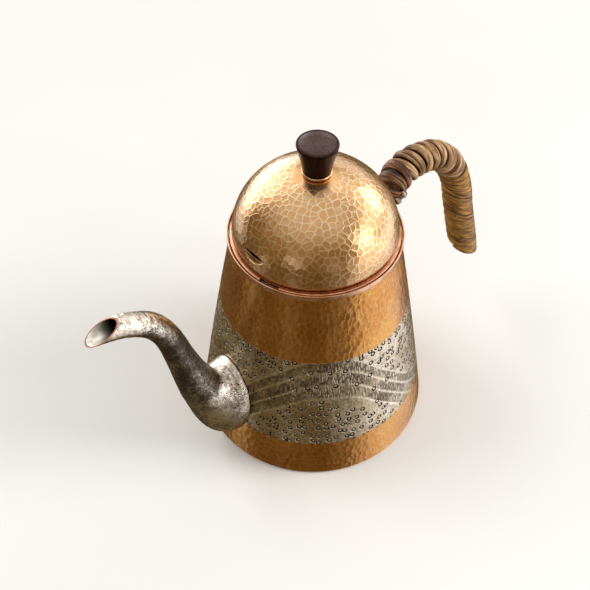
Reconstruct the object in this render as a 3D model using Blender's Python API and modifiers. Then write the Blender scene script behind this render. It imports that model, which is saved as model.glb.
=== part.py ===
"""A hand-hammered gooseneck pouring kettle with a lift-off domed lid and a wound handle.

Metres, +Z up. The origin is the centre of the base's underside. The spout points along -X
and the handle along +X, so the plane y = 0 is the kettle's middle plane.
"""

import math

import bmesh
import bpy
from mathutils import Matrix, Vector

# Driving dimensions.
BASE_RADIUS = 0.0600
NECK_RADIUS = 0.0397
RIM_HEIGHT = 0.1183
WALL_BULGE = 0.0006
SHEET = 0.0012
GAP = 0.0003

# The body's top edge: the rolled rim outside, and the seat that the lid rests on.
WALL_TOP = RIM_HEIGHT - 0.0020
RIM_RADIUS = 0.0413
RIM_DEPTH = 0.0031
SEAT_TOP = RIM_HEIGHT - 0.0006
SEAT_SHEET = 0.0011
SEAT_INNER_RADIUS = 0.0368
SEAT_OUTER_RADIUS = 0.0403
NOTCH_WIDTH = 0.0107
NOTCH_DEPTH_RADIUS = 0.0394
NOTCH_AZIMUTH = math.radians(200.6)

# The lid.
LID_RADIUS = 0.0388
LID_SHEET = 0.0010
LID_SKIRT = 0.0014
LID_EDGE = SEAT_TOP + GAP
LID_TOP = 0.1538
COLLAR_RADIUS = 0.0363
COLLAR_DEPTH = 0.0085
TAB_RADIUS = 0.0382
TAB_WIDTH = 0.0080
VENT_AZIMUTH = math.radians(185.4)
VENT_HEIGHT = 0.1277
VENT_LENGTH = 0.0122
VENT_WIDTH = 0.0013
VENT_LEAN = math.radians(18)

# The knob and its fastening.
KNOB_FOOT_RADIUS = 0.0064
KNOB_HEAD_RADIUS = 0.0093
KNOB_HEIGHT = 0.0140
KNOB_CROWN = 0.0016
FERRULE_SHEET = 0.0010
SCREW_RADIUS = 0.0015
SCREW_REACH = 0.0065

# The spout: where it leaves the wall, then its middle line as (distance from the axis, height,
# half width, half height), and the plane that its mouth is cut on.
SPOUT_SHEET = 0.0009
SPOUT_FOOT = (0.0335, 0.0160, 0.0238)
SPOUT_LINE = (
    (0.0701, 0.0549, 0.0099, 0.0101),
    (0.0738, 0.0675, 0.0085, 0.0084),
    (0.0773, 0.0817, 0.0072, 0.0071),
    (0.0800, 0.0934, 0.0066, 0.0065),
    (0.0824, 0.1018, 0.0063, 0.0062),
    (0.0854, 0.1087, 0.0061, 0.0060),
    (0.0890, 0.1142, 0.0060, 0.0059),
    (0.0938, 0.1188, 0.0057, 0.0056),
    (0.1002, 0.1227, 0.0054, 0.0053),
    (0.1056, 0.1247, 0.0051, 0.0049),
    (0.1108, 0.1259, 0.0048, 0.0045),
)
MOUTH_SLANT = math.radians(-57)
BULB_SECTIONS = 9
BULB_FULLNESS = (0.95, 0.85)
OPENING_HALF_WIDTH = 0.0132
OPENING_HALF_HEIGHT = 0.0200

# The handle: its bracket on the wall, its core's foot and middle line, and the wound vine.
BRACKET_SHEET = 0.0016
BRACKET_HALF_WIDTH = 0.0125
BRACKET_HALF_HEIGHT = 0.0155
BRACKET_HEIGHT = 0.0970
CORE_SHEET = 0.0010
CORE_FOOT = (0.1005, 0.0050, 0.0058)
CORE_LINE = (
    (0.0461, 0.1072, 0.0046, 0.0022),
    (0.0451, 0.1115, 0.0042, 0.0021),
    (0.0440, 0.1155, 0.0038, 0.0016),
    (0.0437, 0.1189, 0.0038, 0.0016),
    (0.0452, 0.1223, 0.0038, 0.0019),
    (0.0484, 0.1254, 0.0039, 0.0026),
    (0.0522, 0.1276, 0.0040, 0.0034),
    (0.0560, 0.1287, 0.0040, 0.0038),
    (0.0606, 0.1291, 0.0041, 0.0041),
    (0.0676, 0.1281, 0.0043, 0.0043),
    (0.0737, 0.1254, 0.0046, 0.0046),
    (0.0805, 0.1198, 0.0050, 0.0050),
    (0.0863, 0.1124, 0.0054, 0.0054),
    (0.0903, 0.1042, 0.0058, 0.0058),
    (0.0935, 0.0955, 0.0058, 0.0058),
    (0.0971, 0.0820, 0.0058, 0.0058),
    (0.1017, 0.0655, 0.0058, 0.0058),
    (0.1060, 0.0505, 0.0058, 0.0058),
    (0.1086, 0.0410, 0.0058, 0.0058),
)
WRAP_LINE = (
    (0.0453, 0.1199, 0.0063, 0.0063),
    (0.0477, 0.1237, 0.0079, 0.0079),
    (0.0513, 0.1270, 0.0084, 0.0084),
    (0.0557, 0.1287, 0.0084, 0.0084),
    (0.0606, 0.1291, 0.0083, 0.0083),
    (0.0676, 0.1281, 0.0080, 0.0080),
    (0.0737, 0.1254, 0.0078, 0.0078),
    (0.0805, 0.1198, 0.0078, 0.0078),
    (0.0863, 0.1124, 0.0079, 0.0079),
    (0.0903, 0.1042, 0.0080, 0.0080),
    (0.0935, 0.0955, 0.0081, 0.0081),
    (0.0971, 0.0820, 0.0082, 0.0082),
    (0.1017, 0.0655, 0.0083, 0.0083),
    (0.1060, 0.0505, 0.0083, 0.0083),
    (0.1086, 0.0410, 0.0082, 0.0082),
)
CORE_END = 0.940
END_SLANT = math.radians(32)
RIVET_PLACES = (("left", 0.0082, 0.1035), ("right", -0.0082, 0.1035), ("lower", 0.0, 0.0890))
RIVET_RADIUS = 0.0014
RIVET_HEAD_RADIUS = 0.0024
RIVET_HEAD_HEIGHT = 0.0012

# Each winding: name, where it starts and ends along the wrap's middle line (0 to 1), its
# turns, and the depth of the groove between turns.
WINDINGS = (
    ("vine_root_binding", 0.0, 0.062, 2, 0.0005),
    ("vine_bend_wrap", 0.066, 0.410, 9, 0.0008),
    ("vine_grip_wrap", 0.414, 1.0, 22, 0.0004),
)
SAMPLES_PER_TURN = 3

TURN_STEPS = 56
SMALL_TURN_STEPS = 20


def clear_scene():
    for old in list(bpy.data.objects):
        bpy.data.objects.remove(old, do_unlink=True)


def make_collection(name):
    group = bpy.data.collections.new(name)
    bpy.context.scene.collection.children.link(group)
    return group


def make_material(name, colour, roughness, metallic):
    material = bpy.data.materials.new(name)
    material.use_nodes = True
    shader = material.node_tree.nodes["Principled BSDF"]
    shader.inputs["Base Color"].default_value = (*colour, 1.0)
    shader.inputs["Roughness"].default_value = roughness
    shader.inputs["Metallic"].default_value = metallic
    return material


def place(name, mesh, group, material, location=(0.0, 0.0, 0.0), parent=None):
    """Links a mesh as one named part, and shades its round faces smooth."""
    part = bpy.data.objects.new(name, mesh)
    group.objects.link(part)
    part.location = location
    part.parent = parent
    if material:
        mesh.materials.append(material)
    mesh.shade_smooth()
    mesh.set_sharp_from_angle(angle=math.radians(35))
    return part


def place_cutter(name, mesh, group):
    cutter = place(name, mesh, group, None)
    cutter.hide_render = True
    cutter.display_type = "WIRE"
    return cutter


def cut(part, cutter):
    """Takes the cutter's shape out of the part."""
    modifier = part.modifiers.new("cut_" + cutter.name, "BOOLEAN")
    modifier.operation = "DIFFERENCE"
    modifier.solver = "EXACT"
    modifier.object = cutter


def profile_mesh(name, points, closed):
    """The points (radius, height) as a line in the XZ plane, closed into a loop for a ring."""
    mesh = bpy.data.meshes.new(name)
    shape = bmesh.new()
    corners = [shape.verts.new((radius, 0.0, height)) for radius, height in points]
    for first, second in zip(corners, corners[1:]):
        shape.edges.new((first, second))
    if closed:
        shape.edges.new((corners[-1], corners[0]))
    shape.to_mesh(mesh)
    shape.free()
    return mesh


def turn(name, points, group, material, closed=True, steps=TURN_STEPS, location=(0, 0, 0), parent=None):
    """A turned part: its profile runs down the outer side, and a Screw takes it round +Z."""
    part = place(name, profile_mesh(name, points, closed), group, material, location, parent)
    screw = part.modifiers.new("turn", "SCREW")
    screw.axis = "Z"
    screw.angle = 2 * math.pi
    screw.steps = steps
    screw.render_steps = steps
    screw.use_merge_vertices = True
    screw.merge_threshold = 0.00001
    screw.use_smooth_shade = True
    return part


def ring_faces(shape, rings):
    """Joins each ring to the next, and the last to the first, so that the shell is closed."""
    corners = [[shape.verts.new(point) for point in ring] for ring in rings]
    for ring, following in zip(corners, corners[1:] + corners[:1]):
        for i in range(len(ring)):
            j = (i + 1) % len(ring)
            shape.faces.new((ring[i], ring[j], following[j], following[i]))


def shell_mesh(name, outer, inner):
    """A tube with a wall: outer rings from foot to tip, and the inner rings back again."""
    mesh = bpy.data.meshes.new(name)
    shape = bmesh.new()
    ring_faces(shape, outer + inner[::-1])
    bmesh.ops.recalc_face_normals(shape, faces=shape.faces)
    shape.to_mesh(mesh)
    shape.free()
    return mesh


def wall_radius(height):
    """The body's outer radius: a straight taper with a slight outward curve."""
    part = height / WALL_TOP
    return BASE_RADIUS + (NECK_RADIUS - BASE_RADIUS) * part + WALL_BULGE * 4 * part * (1 - part)


def smooth_between(points, position):
    """The point at position 0 to 1 on a Catmull-Rom curve through points of any width."""
    place_along = min(max(position, 0.0), 1.0) * (len(points) - 1)
    index = min(int(place_along), len(points) - 2)
    t = place_along - index
    before = points[index - 1] if index else tuple(2 * a - b for a, b in zip(points[0], points[1]))
    last = len(points) - 1
    after = points[index + 2] if index + 2 <= last else tuple(
        2 * a - b for a, b in zip(points[last], points[last - 1])
    )
    here, there = points[index], points[index + 1]
    return tuple(
        0.5 * (2 * b + (c - a) * t + (2 * a - 5 * b + 4 * c - d) * t * t + (3 * b - a - 3 * c + d) * t**3)
        for a, b, c, d in zip(before, here, there, after)
    )


class MiddleLine:
    """A tube's middle line in the XZ plane, read by the share of its length."""

    def __init__(self, points, side):
        self.points = points
        self.side = side
        fine = [smooth_between(points, i / 400) for i in range(401)]
        self.lengths = [0.0]
        for first, second in zip(fine, fine[1:]):
            self.lengths.append(self.lengths[-1] + math.dist(first[:2], second[:2]))
        self.length = self.lengths[-1]

    def _position(self, share):
        wanted = min(max(share, 0.0), 1.0) * self.length
        for index, reached in enumerate(self.lengths[1:]):
            if reached >= wanted:
                start = self.lengths[index]
                return (index + (wanted - start) / max(reached - start, 1e-9)) / 400
        return 1.0

    def at(self, share):
        """(centre, outward normal in the plane, tangent, half width, half height)."""
        position = self._position(share)
        radius, height, half_width, half_height = smooth_between(self.points, position)
        back = smooth_between(self.points, max(position - 0.002, 0.0))
        ahead = smooth_between(self.points, min(position + 0.002, 1.0))
        tangent = Vector((self.side * (ahead[0] - back[0]), 0.0, ahead[1] - back[1])).normalized()
        normal = Vector((-self.side * tangent.z, 0.0, self.side * tangent.x))
        return Vector((self.side * radius, 0.0, height)), normal, tangent, half_width, half_height

    def share_near(self, spot):
        """The share of the length at which the line passes closest to a place."""
        return min((i / 400 for i in range(401)), key=lambda share: (self.at(share)[0] - spot).length)

    def ring(self, share, count, less=0.0, radius=None, slant=0.0, ripple=None):
        """A closed ring of points across the line. less is taken off the section all round."""
        centre, normal, tangent, half_width, half_height = self.at(share)
        if radius is not None:
            half_width = half_height = radius
        points = []
        for i in range(count):
            angle = 2 * math.pi * i / count
            extra = ripple(angle) - less if ripple else -less
            across = (half_width + extra) * math.cos(angle)
            along = (half_height + extra) * math.sin(angle)
            point = centre + Vector((0.0, across, 0.0)) + normal * along
            points.append(point + tangent * (along * math.tan(slant)))
        return points


def foot_ring(foot, side, offset, count, less=0.0):
    """The oval where a tube meets the tapered wall, a little off its surface."""
    height, half_width, half_height = foot
    points = []
    for i in range(count):
        angle = 2 * math.pi * i / count
        y = (half_width - less) * math.cos(angle)
        z = height + (half_height - less) * math.sin(angle)
        radius = wall_radius(z) + offset
        points.append(Vector((side * math.sqrt(radius**2 - y**2), y, z)))
    return points


def box_mesh(name, size, transform):
    mesh = bpy.data.meshes.new(name)
    shape = bmesh.new()
    bmesh.ops.create_cube(shape, size=1.0, matrix=transform @ Matrix.Diagonal((*size, 1.0)))
    shape.to_mesh(mesh)
    shape.free()
    return mesh


def rod_mesh(name, radius, length, transform, segments=SMALL_TURN_STEPS, squash=1.0):
    """A cylinder along the transform's +Z; squash flattens its second direction."""
    mesh = bpy.data.meshes.new(name)
    shape = bmesh.new()
    bmesh.ops.create_cone(
        shape,
        cap_ends=True,
        segments=segments,
        radius1=radius,
        radius2=radius,
        depth=length,
        matrix=transform @ Matrix.Diagonal((1.0, squash, 1.0, 1.0)),
    )
    shape.to_mesh(mesh)
    shape.free()
    return mesh


def outward_frame(azimuth, radius, height, lean=0.0):
    """A frame at a place on the wall whose +Z points straight out of it, and lean upwards."""
    turned = Matrix.Rotation(azimuth, 4, "Z")
    tipped = Matrix.Rotation(math.pi / 2 - lean, 4, "Y")
    spot = Vector((radius * math.cos(azimuth), radius * math.sin(azimuth), height))
    return Matrix.Translation(spot) @ turned @ tipped


def wall_lean():
    """How far the wall's outward direction tips up from level."""
    return math.atan2(BASE_RADIUS - NECK_RADIUS, WALL_TOP)


def make_body(group, cutters, copper):
    heights = [0.0012, 0.022, 0.045, 0.068, 0.092, WALL_TOP]
    outer = [(wall_radius(height), height) for height in reversed(heights)]
    foot_edge = [(BASE_RADIUS - 0.0010, 0.0)]
    inner = [(wall_radius(height) - SHEET, height) for height in [0.0] + heights[1:]]
    wall = turn("body_wall", outer + foot_edge + inner, group, copper)

    spout_axis = outward_frame(math.pi, wall_radius(SPOUT_FOOT[0]) - SHEET / 2, SPOUT_FOOT[0], wall_lean())
    squash = OPENING_HALF_WIDTH / OPENING_HALF_HEIGHT
    opening = rod_mesh("spout_opening", OPENING_HALF_HEIGHT, 0.02, spout_axis, 32, squash)
    cut(wall, place_cutter("spout_opening", opening, cutters))

    notch = Matrix.Rotation(NOTCH_AZIMUTH, 4, "Z") @ Matrix.Translation((0.0365, 0.0, WALL_TOP))
    relief = box_mesh("notch_relief", (2 * (NECK_RADIUS - 0.0007 - 0.0365), NOTCH_WIDTH, 0.0080), notch)
    cut(wall, place_cutter("notch_relief", relief, cutters))
    return wall


def make_base(group, copper):
    flange_top = 0.0060
    flange_radius = wall_radius(flange_top) - SHEET - GAP
    foot_radius = wall_radius(0.0010) - SHEET - GAP
    points = [
        (0.0, SHEET),
        (foot_radius - 0.0030, SHEET),
        (foot_radius - 0.0016, SHEET + 0.0008),
        (flange_radius - 0.0010, flange_top),
        (flange_radius, flange_top),
        (foot_radius, 0.0010),
        (foot_radius - 0.0010, 0.0),
        (0.0, 0.0),
    ]
    turn("base_pan", points, group, copper, closed=False)


def make_rim(group, cutters, copper):
    inside = NECK_RADIUS + GAP
    lip_inside = SEAT_OUTER_RADIUS + GAP
    middle = (lip_inside + RIM_RADIUS) / 2
    bottom = RIM_HEIGHT - RIM_DEPTH
    points = [
        (middle, RIM_HEIGHT),
        (RIM_RADIUS - 0.0001, RIM_HEIGHT - 0.0003),
        (RIM_RADIUS, RIM_HEIGHT - 0.0012),
        (RIM_RADIUS - 0.0002, bottom + 0.0006),
        (RIM_RADIUS - 0.0006, bottom),
        (inside + 0.00025, bottom),
        (inside, WALL_TOP),
        (lip_inside, WALL_TOP),
        (lip_inside, RIM_HEIGHT - 0.0003),
    ]
    turn("rim_ring", points, group, copper)

    underside = SEAT_TOP - SEAT_SHEET
    seat = turn(
        "lid_seat_ring",
        [
            (SEAT_OUTER_RADIUS, SEAT_TOP),
            (SEAT_OUTER_RADIUS, underside),
            (SEAT_INNER_RADIUS, underside),
            (SEAT_INNER_RADIUS, SEAT_TOP - 0.0004),
            (SEAT_INNER_RADIUS + 0.0004, SEAT_TOP),
        ],
        group,
        copper,
    )
    reach = NOTCH_DEPTH_RADIUS - 0.0340
    centre = Matrix.Translation((0.0340 + reach / 2, 0.0, SEAT_TOP))
    notch = box_mesh("seat_notch", (reach, NOTCH_WIDTH, 0.0060), Matrix.Rotation(NOTCH_AZIMUTH, 4, "Z") @ centre)
    cut(seat, place_cutter("seat_notch", notch, cutters))


def bulb_rings(foot, first, tangent):
    """Rings that swell from the oval on the wall into the spout's first round section."""
    lean = wall_lean()
    outward = Vector((-math.cos(lean), 0.0, math.sin(lean)))
    leave, arrive = BULB_FULLNESS
    rings = []
    for k in range(1, BULB_SECTIONS):
        t = k / BULB_SECTIONS
        ring = []
        for start, end in zip(foot, first):
            chord = (end - start).length
            ring.append(
                start * (2 * t**3 - 3 * t**2 + 1)
                + outward * (chord * leave * (t**3 - 2 * t**2 + t))
                + end * (3 * t**2 - 2 * t**3)
                + tangent * (chord * arrive * (t**3 - t**2))
            )
        rings.append(ring)
    return rings


def make_spout(group, tinned):
    line = MiddleLine(SPOUT_LINE, -1)
    tangent = line.at(0.0)[2]
    count, sections = 20, 17
    shells = []
    for less in (0.0, SPOUT_SHEET):
        foot = foot_ring(SPOUT_FOOT, -1, GAP, count, less)
        neck = []
        for i in range(sections):
            share = i / (sections - 1)
            slant = MOUTH_SLANT * max(0.0, (share - 0.75) / 0.25)
            neck.append(line.ring(share, count, less, slant=slant))
        shells.append([foot] + bulb_rings(foot, neck[0], tangent) + neck)
    place("spout", shell_mesh("spout", *shells), group, tinned)


def curved_plate_mesh(name, half_width, half_height, middle, offset, columns, rows):
    """An oval patch of the wall's surface, lifted off it by offset."""
    mesh = bpy.data.meshes.new(name)
    shape = bmesh.new()
    bmesh.ops.create_grid(shape, x_segments=columns, y_segments=rows, size=1.0)
    for corner in shape.verts:
        a, b = corner.co.x, corner.co.y
        across = a * math.sqrt(1 - b * b / 2) * half_width
        height = middle + b * math.sqrt(1 - a * a / 2) * half_height
        radius = wall_radius(height) + offset
        corner.co = Vector((radius * math.cos(across / radius), radius * math.sin(across / radius), height))
    bmesh.ops.recalc_face_normals(shape, faces=shape.faces)
    shape.to_mesh(mesh)
    shape.free()
    return mesh


def rivet_points(grip):
    """A rivet through a stack of the given thickness, standing on z = 0: two domed heads."""
    low = -grip - RIVET_HEAD_HEIGHT
    return [
        (0.0, RIVET_HEAD_HEIGHT),
        (RIVET_HEAD_RADIUS * 0.60, RIVET_HEAD_HEIGHT * 0.80),
        (RIVET_HEAD_RADIUS, GAP),
        (RIVET_RADIUS, GAP),
        (RIVET_RADIUS, -grip),
        (RIVET_HEAD_RADIUS, -grip),
        (RIVET_HEAD_RADIUS * 0.60, low * 0.92),
        (0.0, low),
    ]


def make_bracket(group, cutters, wall, copper, brass):
    mesh = curved_plate_mesh(
        "handle_bracket", BRACKET_HALF_WIDTH, BRACKET_HALF_HEIGHT, BRACKET_HEIGHT, GAP, 8, 8
    )
    bracket = place("handle_bracket", mesh, group, copper)
    thicken = bracket.modifiers.new("thickness", "SOLIDIFY")
    thicken.thickness = BRACKET_SHEET
    thicken.offset = 1.0

    lean = wall_lean()
    grip = SHEET + GAP + BRACKET_SHEET + GAP
    for label, across, height in RIVET_PLACES:
        surface = wall_radius(height) + GAP + BRACKET_SHEET
        frame = outward_frame(math.asin(across / surface), surface, height, lean)
        hole = rod_mesh("hole_" + label, RIVET_RADIUS + GAP, 0.0160, frame, 16)
        cutter = place_cutter("hole_" + label, hole, cutters)
        cut(wall, cutter)
        cut(bracket, cutter)
        rivet = turn("handle_rivet_" + label, rivet_points(grip), group, brass, closed=False, steps=16)
        rivet.matrix_world = frame


def make_core(group, copper):
    line = MiddleLine(CORE_LINE, 1)
    count, sections = 12, 24
    lift = GAP + BRACKET_SHEET + GAP
    outer = [foot_ring(CORE_FOOT, 1, lift, count)]
    inner = [foot_ring(CORE_FOOT, 1, lift, count, CORE_SHEET)]
    for i in range(sections):
        share = i / (sections - 1) * CORE_END
        outer.append(line.ring(share, count))
        inner.append(line.ring(share, count, CORE_SHEET))
    place("handle_core", shell_mesh("handle_core", outer, inner), group, copper)
    return line


def solid_tube_mesh(name, rings):
    """A solid made of rings, with a flat face on each end."""
    mesh = bpy.data.meshes.new(name)
    shape = bmesh.new()
    corners = [[shape.verts.new(point) for point in ring] for ring in rings]
    for ring, following in zip(corners, corners[1:]):
        for i in range(len(ring)):
            j = (i + 1) % len(ring)
            shape.faces.new((ring[i], ring[j], following[j], following[i]))
    shape.faces.new(corners[0][::-1])
    shape.faces.new(corners[-1])
    bmesh.ops.recalc_face_normals(shape, faces=shape.faces)
    shape.to_mesh(mesh)
    shape.free()
    return mesh


def make_plug(group, line, copper):
    """The plug that closes the core's free end: a spigot inside it and a slanted head."""
    count = 12
    fit = CORE_SHEET + GAP
    shoulder = CORE_END + GAP / line.length
    rings = [
        line.ring(CORE_END - 0.045, count, fit),
        line.ring(shoulder, count, fit),
        line.ring(shoulder, count),
        line.ring(0.985, count, slant=END_SLANT),
    ]
    place("handle_end_plug", solid_tube_mesh("handle_end_plug", rings), group, copper)


def make_windings(group, core, vine):
    """The vine wound round the core: shells whose outside is grooved like a screw thread."""
    wrap = MiddleLine(WRAP_LINE, 1)
    count = 12
    for name, start, end, turns, groove in WINDINGS:

        def slant_at(share):
            return END_SLANT * max(0.0, (share - 0.88) / 0.12) if end == 1.0 else 0.0

        outer = []
        steps = turns * SAMPLES_PER_TURN
        for i in range(steps + 1):
            share = start + (end - start) * i / steps
            phase = 2 * math.pi * turns * i / steps
            outer.append(
                wrap.ring(
                    share,
                    count,
                    slant=slant_at(share),
                    ripple=lambda angle: groove * (math.cos(phase - angle) - 1),
                )
            )
        inner = []
        inner_steps = max(4, round((end - start) * 36))
        for i in range(inner_steps + 1):
            share = start + (end - start) * i / inner_steps
            beside = core.share_near(wrap.at(share)[0])
            inner.append(core.ring(beside, count, -2 * GAP, slant=slant_at(share)))
        place(name, shell_mesh(name, outer, inner), group, vine)


def dome_profile(inset, start, steps):
    """The dome from its hole outwards and down: a skirt under a half ellipse."""
    skirt_top = LID_EDGE + LID_SKIRT
    radius, rise = LID_RADIUS - inset, LID_TOP - inset - skirt_top
    first = math.asin(start / radius)
    points = []
    for i in range(steps + 1):
        angle = first + (math.pi / 2 - first) * i / steps
        points.append((radius * math.sin(angle), skirt_top + rise * math.cos(angle)))
    return points


def make_lid(group, cutters, gold_copper, copper, parent):
    hole = SCREW_RADIUS + GAP
    outer = dome_profile(0.0, hole, 9)
    inner = dome_profile(LID_SHEET, hole, 7)
    edge = [(LID_RADIUS - 0.0002, LID_EDGE), (LID_RADIUS - LID_SHEET, LID_EDGE)]
    dome = turn("lid_dome", outer + edge + inner[::-1], group, gold_copper, parent=parent)

    vent = outward_frame(VENT_AZIMUTH, LID_RADIUS, VENT_HEIGHT, VENT_LEAN)
    slot = box_mesh("vent_slot", (VENT_WIDTH, VENT_LENGTH, 0.0100), vent)
    cut(dome, place_cutter("vent_slot", slot, cutters))

    flange_low = LID_EDGE + 0.0010
    flange_top = flange_low + 0.0010
    bottom = SEAT_TOP - COLLAR_DEPTH
    inside = COLLAR_RADIUS - SHEET
    collar = [
        (LID_RADIUS - LID_SHEET - GAP, flange_top),
        (LID_RADIUS - LID_SHEET - GAP, flange_low),
        (COLLAR_RADIUS, flange_low),
        (COLLAR_RADIUS, bottom + 0.0004),
        (COLLAR_RADIUS - 0.0004, bottom),
        (inside, bottom),
        (inside, flange_top),
    ]
    turn("lid_collar", collar, group, copper, parent=parent)

    tab_top = SEAT_TOP - SEAT_SHEET - 0.0008
    tab_length = TAB_RADIUS - COLLAR_RADIUS - GAP
    middle = COLLAR_RADIUS + GAP + tab_length / 2
    spot = Matrix.Rotation(NOTCH_AZIMUTH, 4, "Z") @ Matrix.Translation((middle, 0.0, tab_top - 0.0012))
    tab = place("lid_lock_tab", box_mesh("lid_lock_tab", (tab_length, TAB_WIDTH, 0.0024), spot), group, copper)
    tab.parent = parent
    soften = tab.modifiers.new("rounded", "BEVEL")
    soften.width = 0.0003
    soften.segments = 2


def make_knob(group, wood, brass, lid, lift):
    ferrule_low = LID_TOP + GAP
    ferrule_top = ferrule_low + FERRULE_SHEET
    bore = SCREW_RADIUS + GAP
    ferrule = [
        (KNOB_FOOT_RADIUS + 0.0004, ferrule_top - 0.0003),
        (KNOB_FOOT_RADIUS + 0.0004, ferrule_low + 0.0003),
        (KNOB_FOOT_RADIUS + 0.0001, ferrule_low),
        (bore, ferrule_low),
        (bore, ferrule_top),
        (KNOB_FOOT_RADIUS + 0.0001, ferrule_top),
    ]
    turn("knob_ferrule", ferrule, group, brass, steps=24, parent=lid)

    foot = ferrule_top + GAP
    head = foot + KNOB_HEIGHT
    blind = foot + SCREW_REACH + GAP
    knob = [(0.0, head + KNOB_CROWN)]
    for i in range(1, 5):
        part = i / 5
        knob.append((part * (KNOB_HEAD_RADIUS - 0.0006), head + KNOB_CROWN * (1 - part**2.4)))
    knob.append((KNOB_HEAD_RADIUS - 0.0003, head + 0.0003))
    knob.append((KNOB_HEAD_RADIUS, head - 0.0006))
    for i in range(1, 6):
        part = i / 6
        flare = (1 - part) ** 1.2
        radius = KNOB_FOOT_RADIUS + (KNOB_HEAD_RADIUS - KNOB_FOOT_RADIUS) * flare
        knob.append((radius, head - 0.0006 - (KNOB_HEIGHT - 0.0006) * part))
    knob += [(KNOB_FOOT_RADIUS, foot), (bore, foot), (bore, blind), (0.0, blind)]
    turn("knob", knob, group, wood, closed=False, steps=24, parent=lid)

    washer_top = LID_TOP - LID_SHEET - GAP - 0.0003
    washer_low = washer_top - 0.0008
    washer = [(0.0045, washer_top), (0.0045, washer_low), (bore, washer_low), (bore, washer_top)]
    turn("knob_inner_washer", washer, group, brass, steps=SMALL_TURN_STEPS, parent=lift)

    head_top = washer_low - GAP
    screw = [
        (0.0, foot + SCREW_REACH),
        (SCREW_RADIUS - 0.0004, foot + SCREW_REACH),
        (SCREW_RADIUS, foot + SCREW_REACH - 0.0005),
        (SCREW_RADIUS, head_top),
        (0.0033, head_top),
        (0.0033, head_top - 0.0008),
        (0.0022, head_top - 0.0019),
        (0.0, head_top - 0.0022),
    ]
    turn("knob_screw", screw, group, brass, closed=False, steps=SMALL_TURN_STEPS, parent=lift)


def make_axis(name, group, parent=None):
    axis = bpy.data.objects.new(name, None)
    axis.empty_display_size = 0.02
    axis.parent = parent
    group.objects.link(axis)
    return axis


def main():
    clear_scene()
    group = make_collection("gooseneck_kettle")
    cutters = make_collection("cutters")
    copper = make_material("hammered_copper", (0.58, 0.27, 0.10), 0.32, 1.0)
    gold_copper = make_material("golden_copper", (0.62, 0.37, 0.14), 0.28, 1.0)
    pink_copper = make_material("bare_copper", (0.70, 0.36, 0.25), 0.30, 1.0)
    tinned = make_material("tinned_copper", (0.52, 0.49, 0.44), 0.34, 1.0)
    wood = make_material("rosewood", (0.055, 0.018, 0.012), 0.42, 0.0)
    vine = make_material("vine", (0.30, 0.17, 0.06), 0.60, 0.0)
    brass = make_material("brass", (0.68, 0.45, 0.20), 0.30, 1.0)

    wall = make_body(group, cutters, copper)
    make_base(group, copper)
    make_rim(group, cutters, pink_copper)
    make_spout(group, tinned)
    make_bracket(group, cutters, wall, copper, brass)
    line = make_core(group, copper)
    make_plug(group, line, copper)
    make_windings(group, line, vine)

    lift = make_axis("lid_lift_axis", group)
    lid = make_axis("lid_turn_axis", group, lift)
    make_lid(group, cutters, gold_copper, copper, lid)
    make_knob(group, wood, brass, lid, lift)


main()
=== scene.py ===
"""The looks of a hand-hammered gooseneck kettle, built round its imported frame.

Metres, +Z up, the spout along -X and the handle along +X. The metal is planished, stamped and
chased in the mesh itself, and the handle is wound with modelled canes of vine.
"""

import math
import random

import bpy
import numpy as np
from mathutils import Matrix, Vector, kdtree


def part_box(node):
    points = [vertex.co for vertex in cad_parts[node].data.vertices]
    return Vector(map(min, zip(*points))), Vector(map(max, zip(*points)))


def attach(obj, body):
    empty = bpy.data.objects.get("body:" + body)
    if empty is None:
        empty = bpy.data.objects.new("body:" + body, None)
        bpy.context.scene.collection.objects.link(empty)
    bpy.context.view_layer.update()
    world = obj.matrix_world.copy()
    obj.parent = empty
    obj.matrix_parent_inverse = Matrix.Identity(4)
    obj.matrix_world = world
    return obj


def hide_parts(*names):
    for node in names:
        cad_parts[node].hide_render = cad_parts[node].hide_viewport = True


MM = 0.001
GAP = 0.0003
SEED = 11

# The sheets' thicknesses, and the body's and dome's outlines.
SHEET = 0.0012
LID_SHEET = 0.0010
SPOUT_SHEET = 0.0009
TOP_RADIUS = 0.0398
FOOT_RADIUS = 0.0598
FOOT_EDGE = 0.0011
FOOT_TOP = 0.0012
DOME_SKIRT = 0.0014

# How many points go round each piece.
WALL_COLUMNS = 720
LID_COLUMNS = 530
FINE_TURN = 192
SMALL_TURN = 96

# The tinned band round the body, and the chased stripes that arch across it.
BAND_LOW = 0.0225
BAND_HIGH = 0.0777
STRIPE_CREST_AZIMUTH = math.radians(239)
STRIPE_CREST_HEIGHT = 0.0720
STRIPE_SWING = 0.0276
STRIPE_BORDERS = (0.0075, 0.0, -0.0083, -0.0168)
STAMP_SPACING = 0.0046
STAMP_RADIUS = 0.00115

# The lid's vent: a slit with the metal under it pressed in.
VENT_AZIMUTH = math.radians(185.4)
VENT_HEIGHT = 0.1277
VENT_HALF_LENGTH = 0.0061
VENT_DROP = 0.0036
VENT_PRESS = 0.0009
VENT_STEP = 0.0004
VENT_LIP = 0.00022
VENT_HALF_WIDTH = 0.0013

# The lid's seat, with its notch for the lock tab, the collar that drops in, and the knob's bore.
NOTCH_AZIMUTH = math.radians(200.6)
NOTCH_HALF_WIDTH = 0.00535
NOTCH_RADIUS = 0.0394
SEAT_RADIUS = 0.0368
COLLAR_RADIUS = 0.0363
KNOB_BORE = 0.0018

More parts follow.
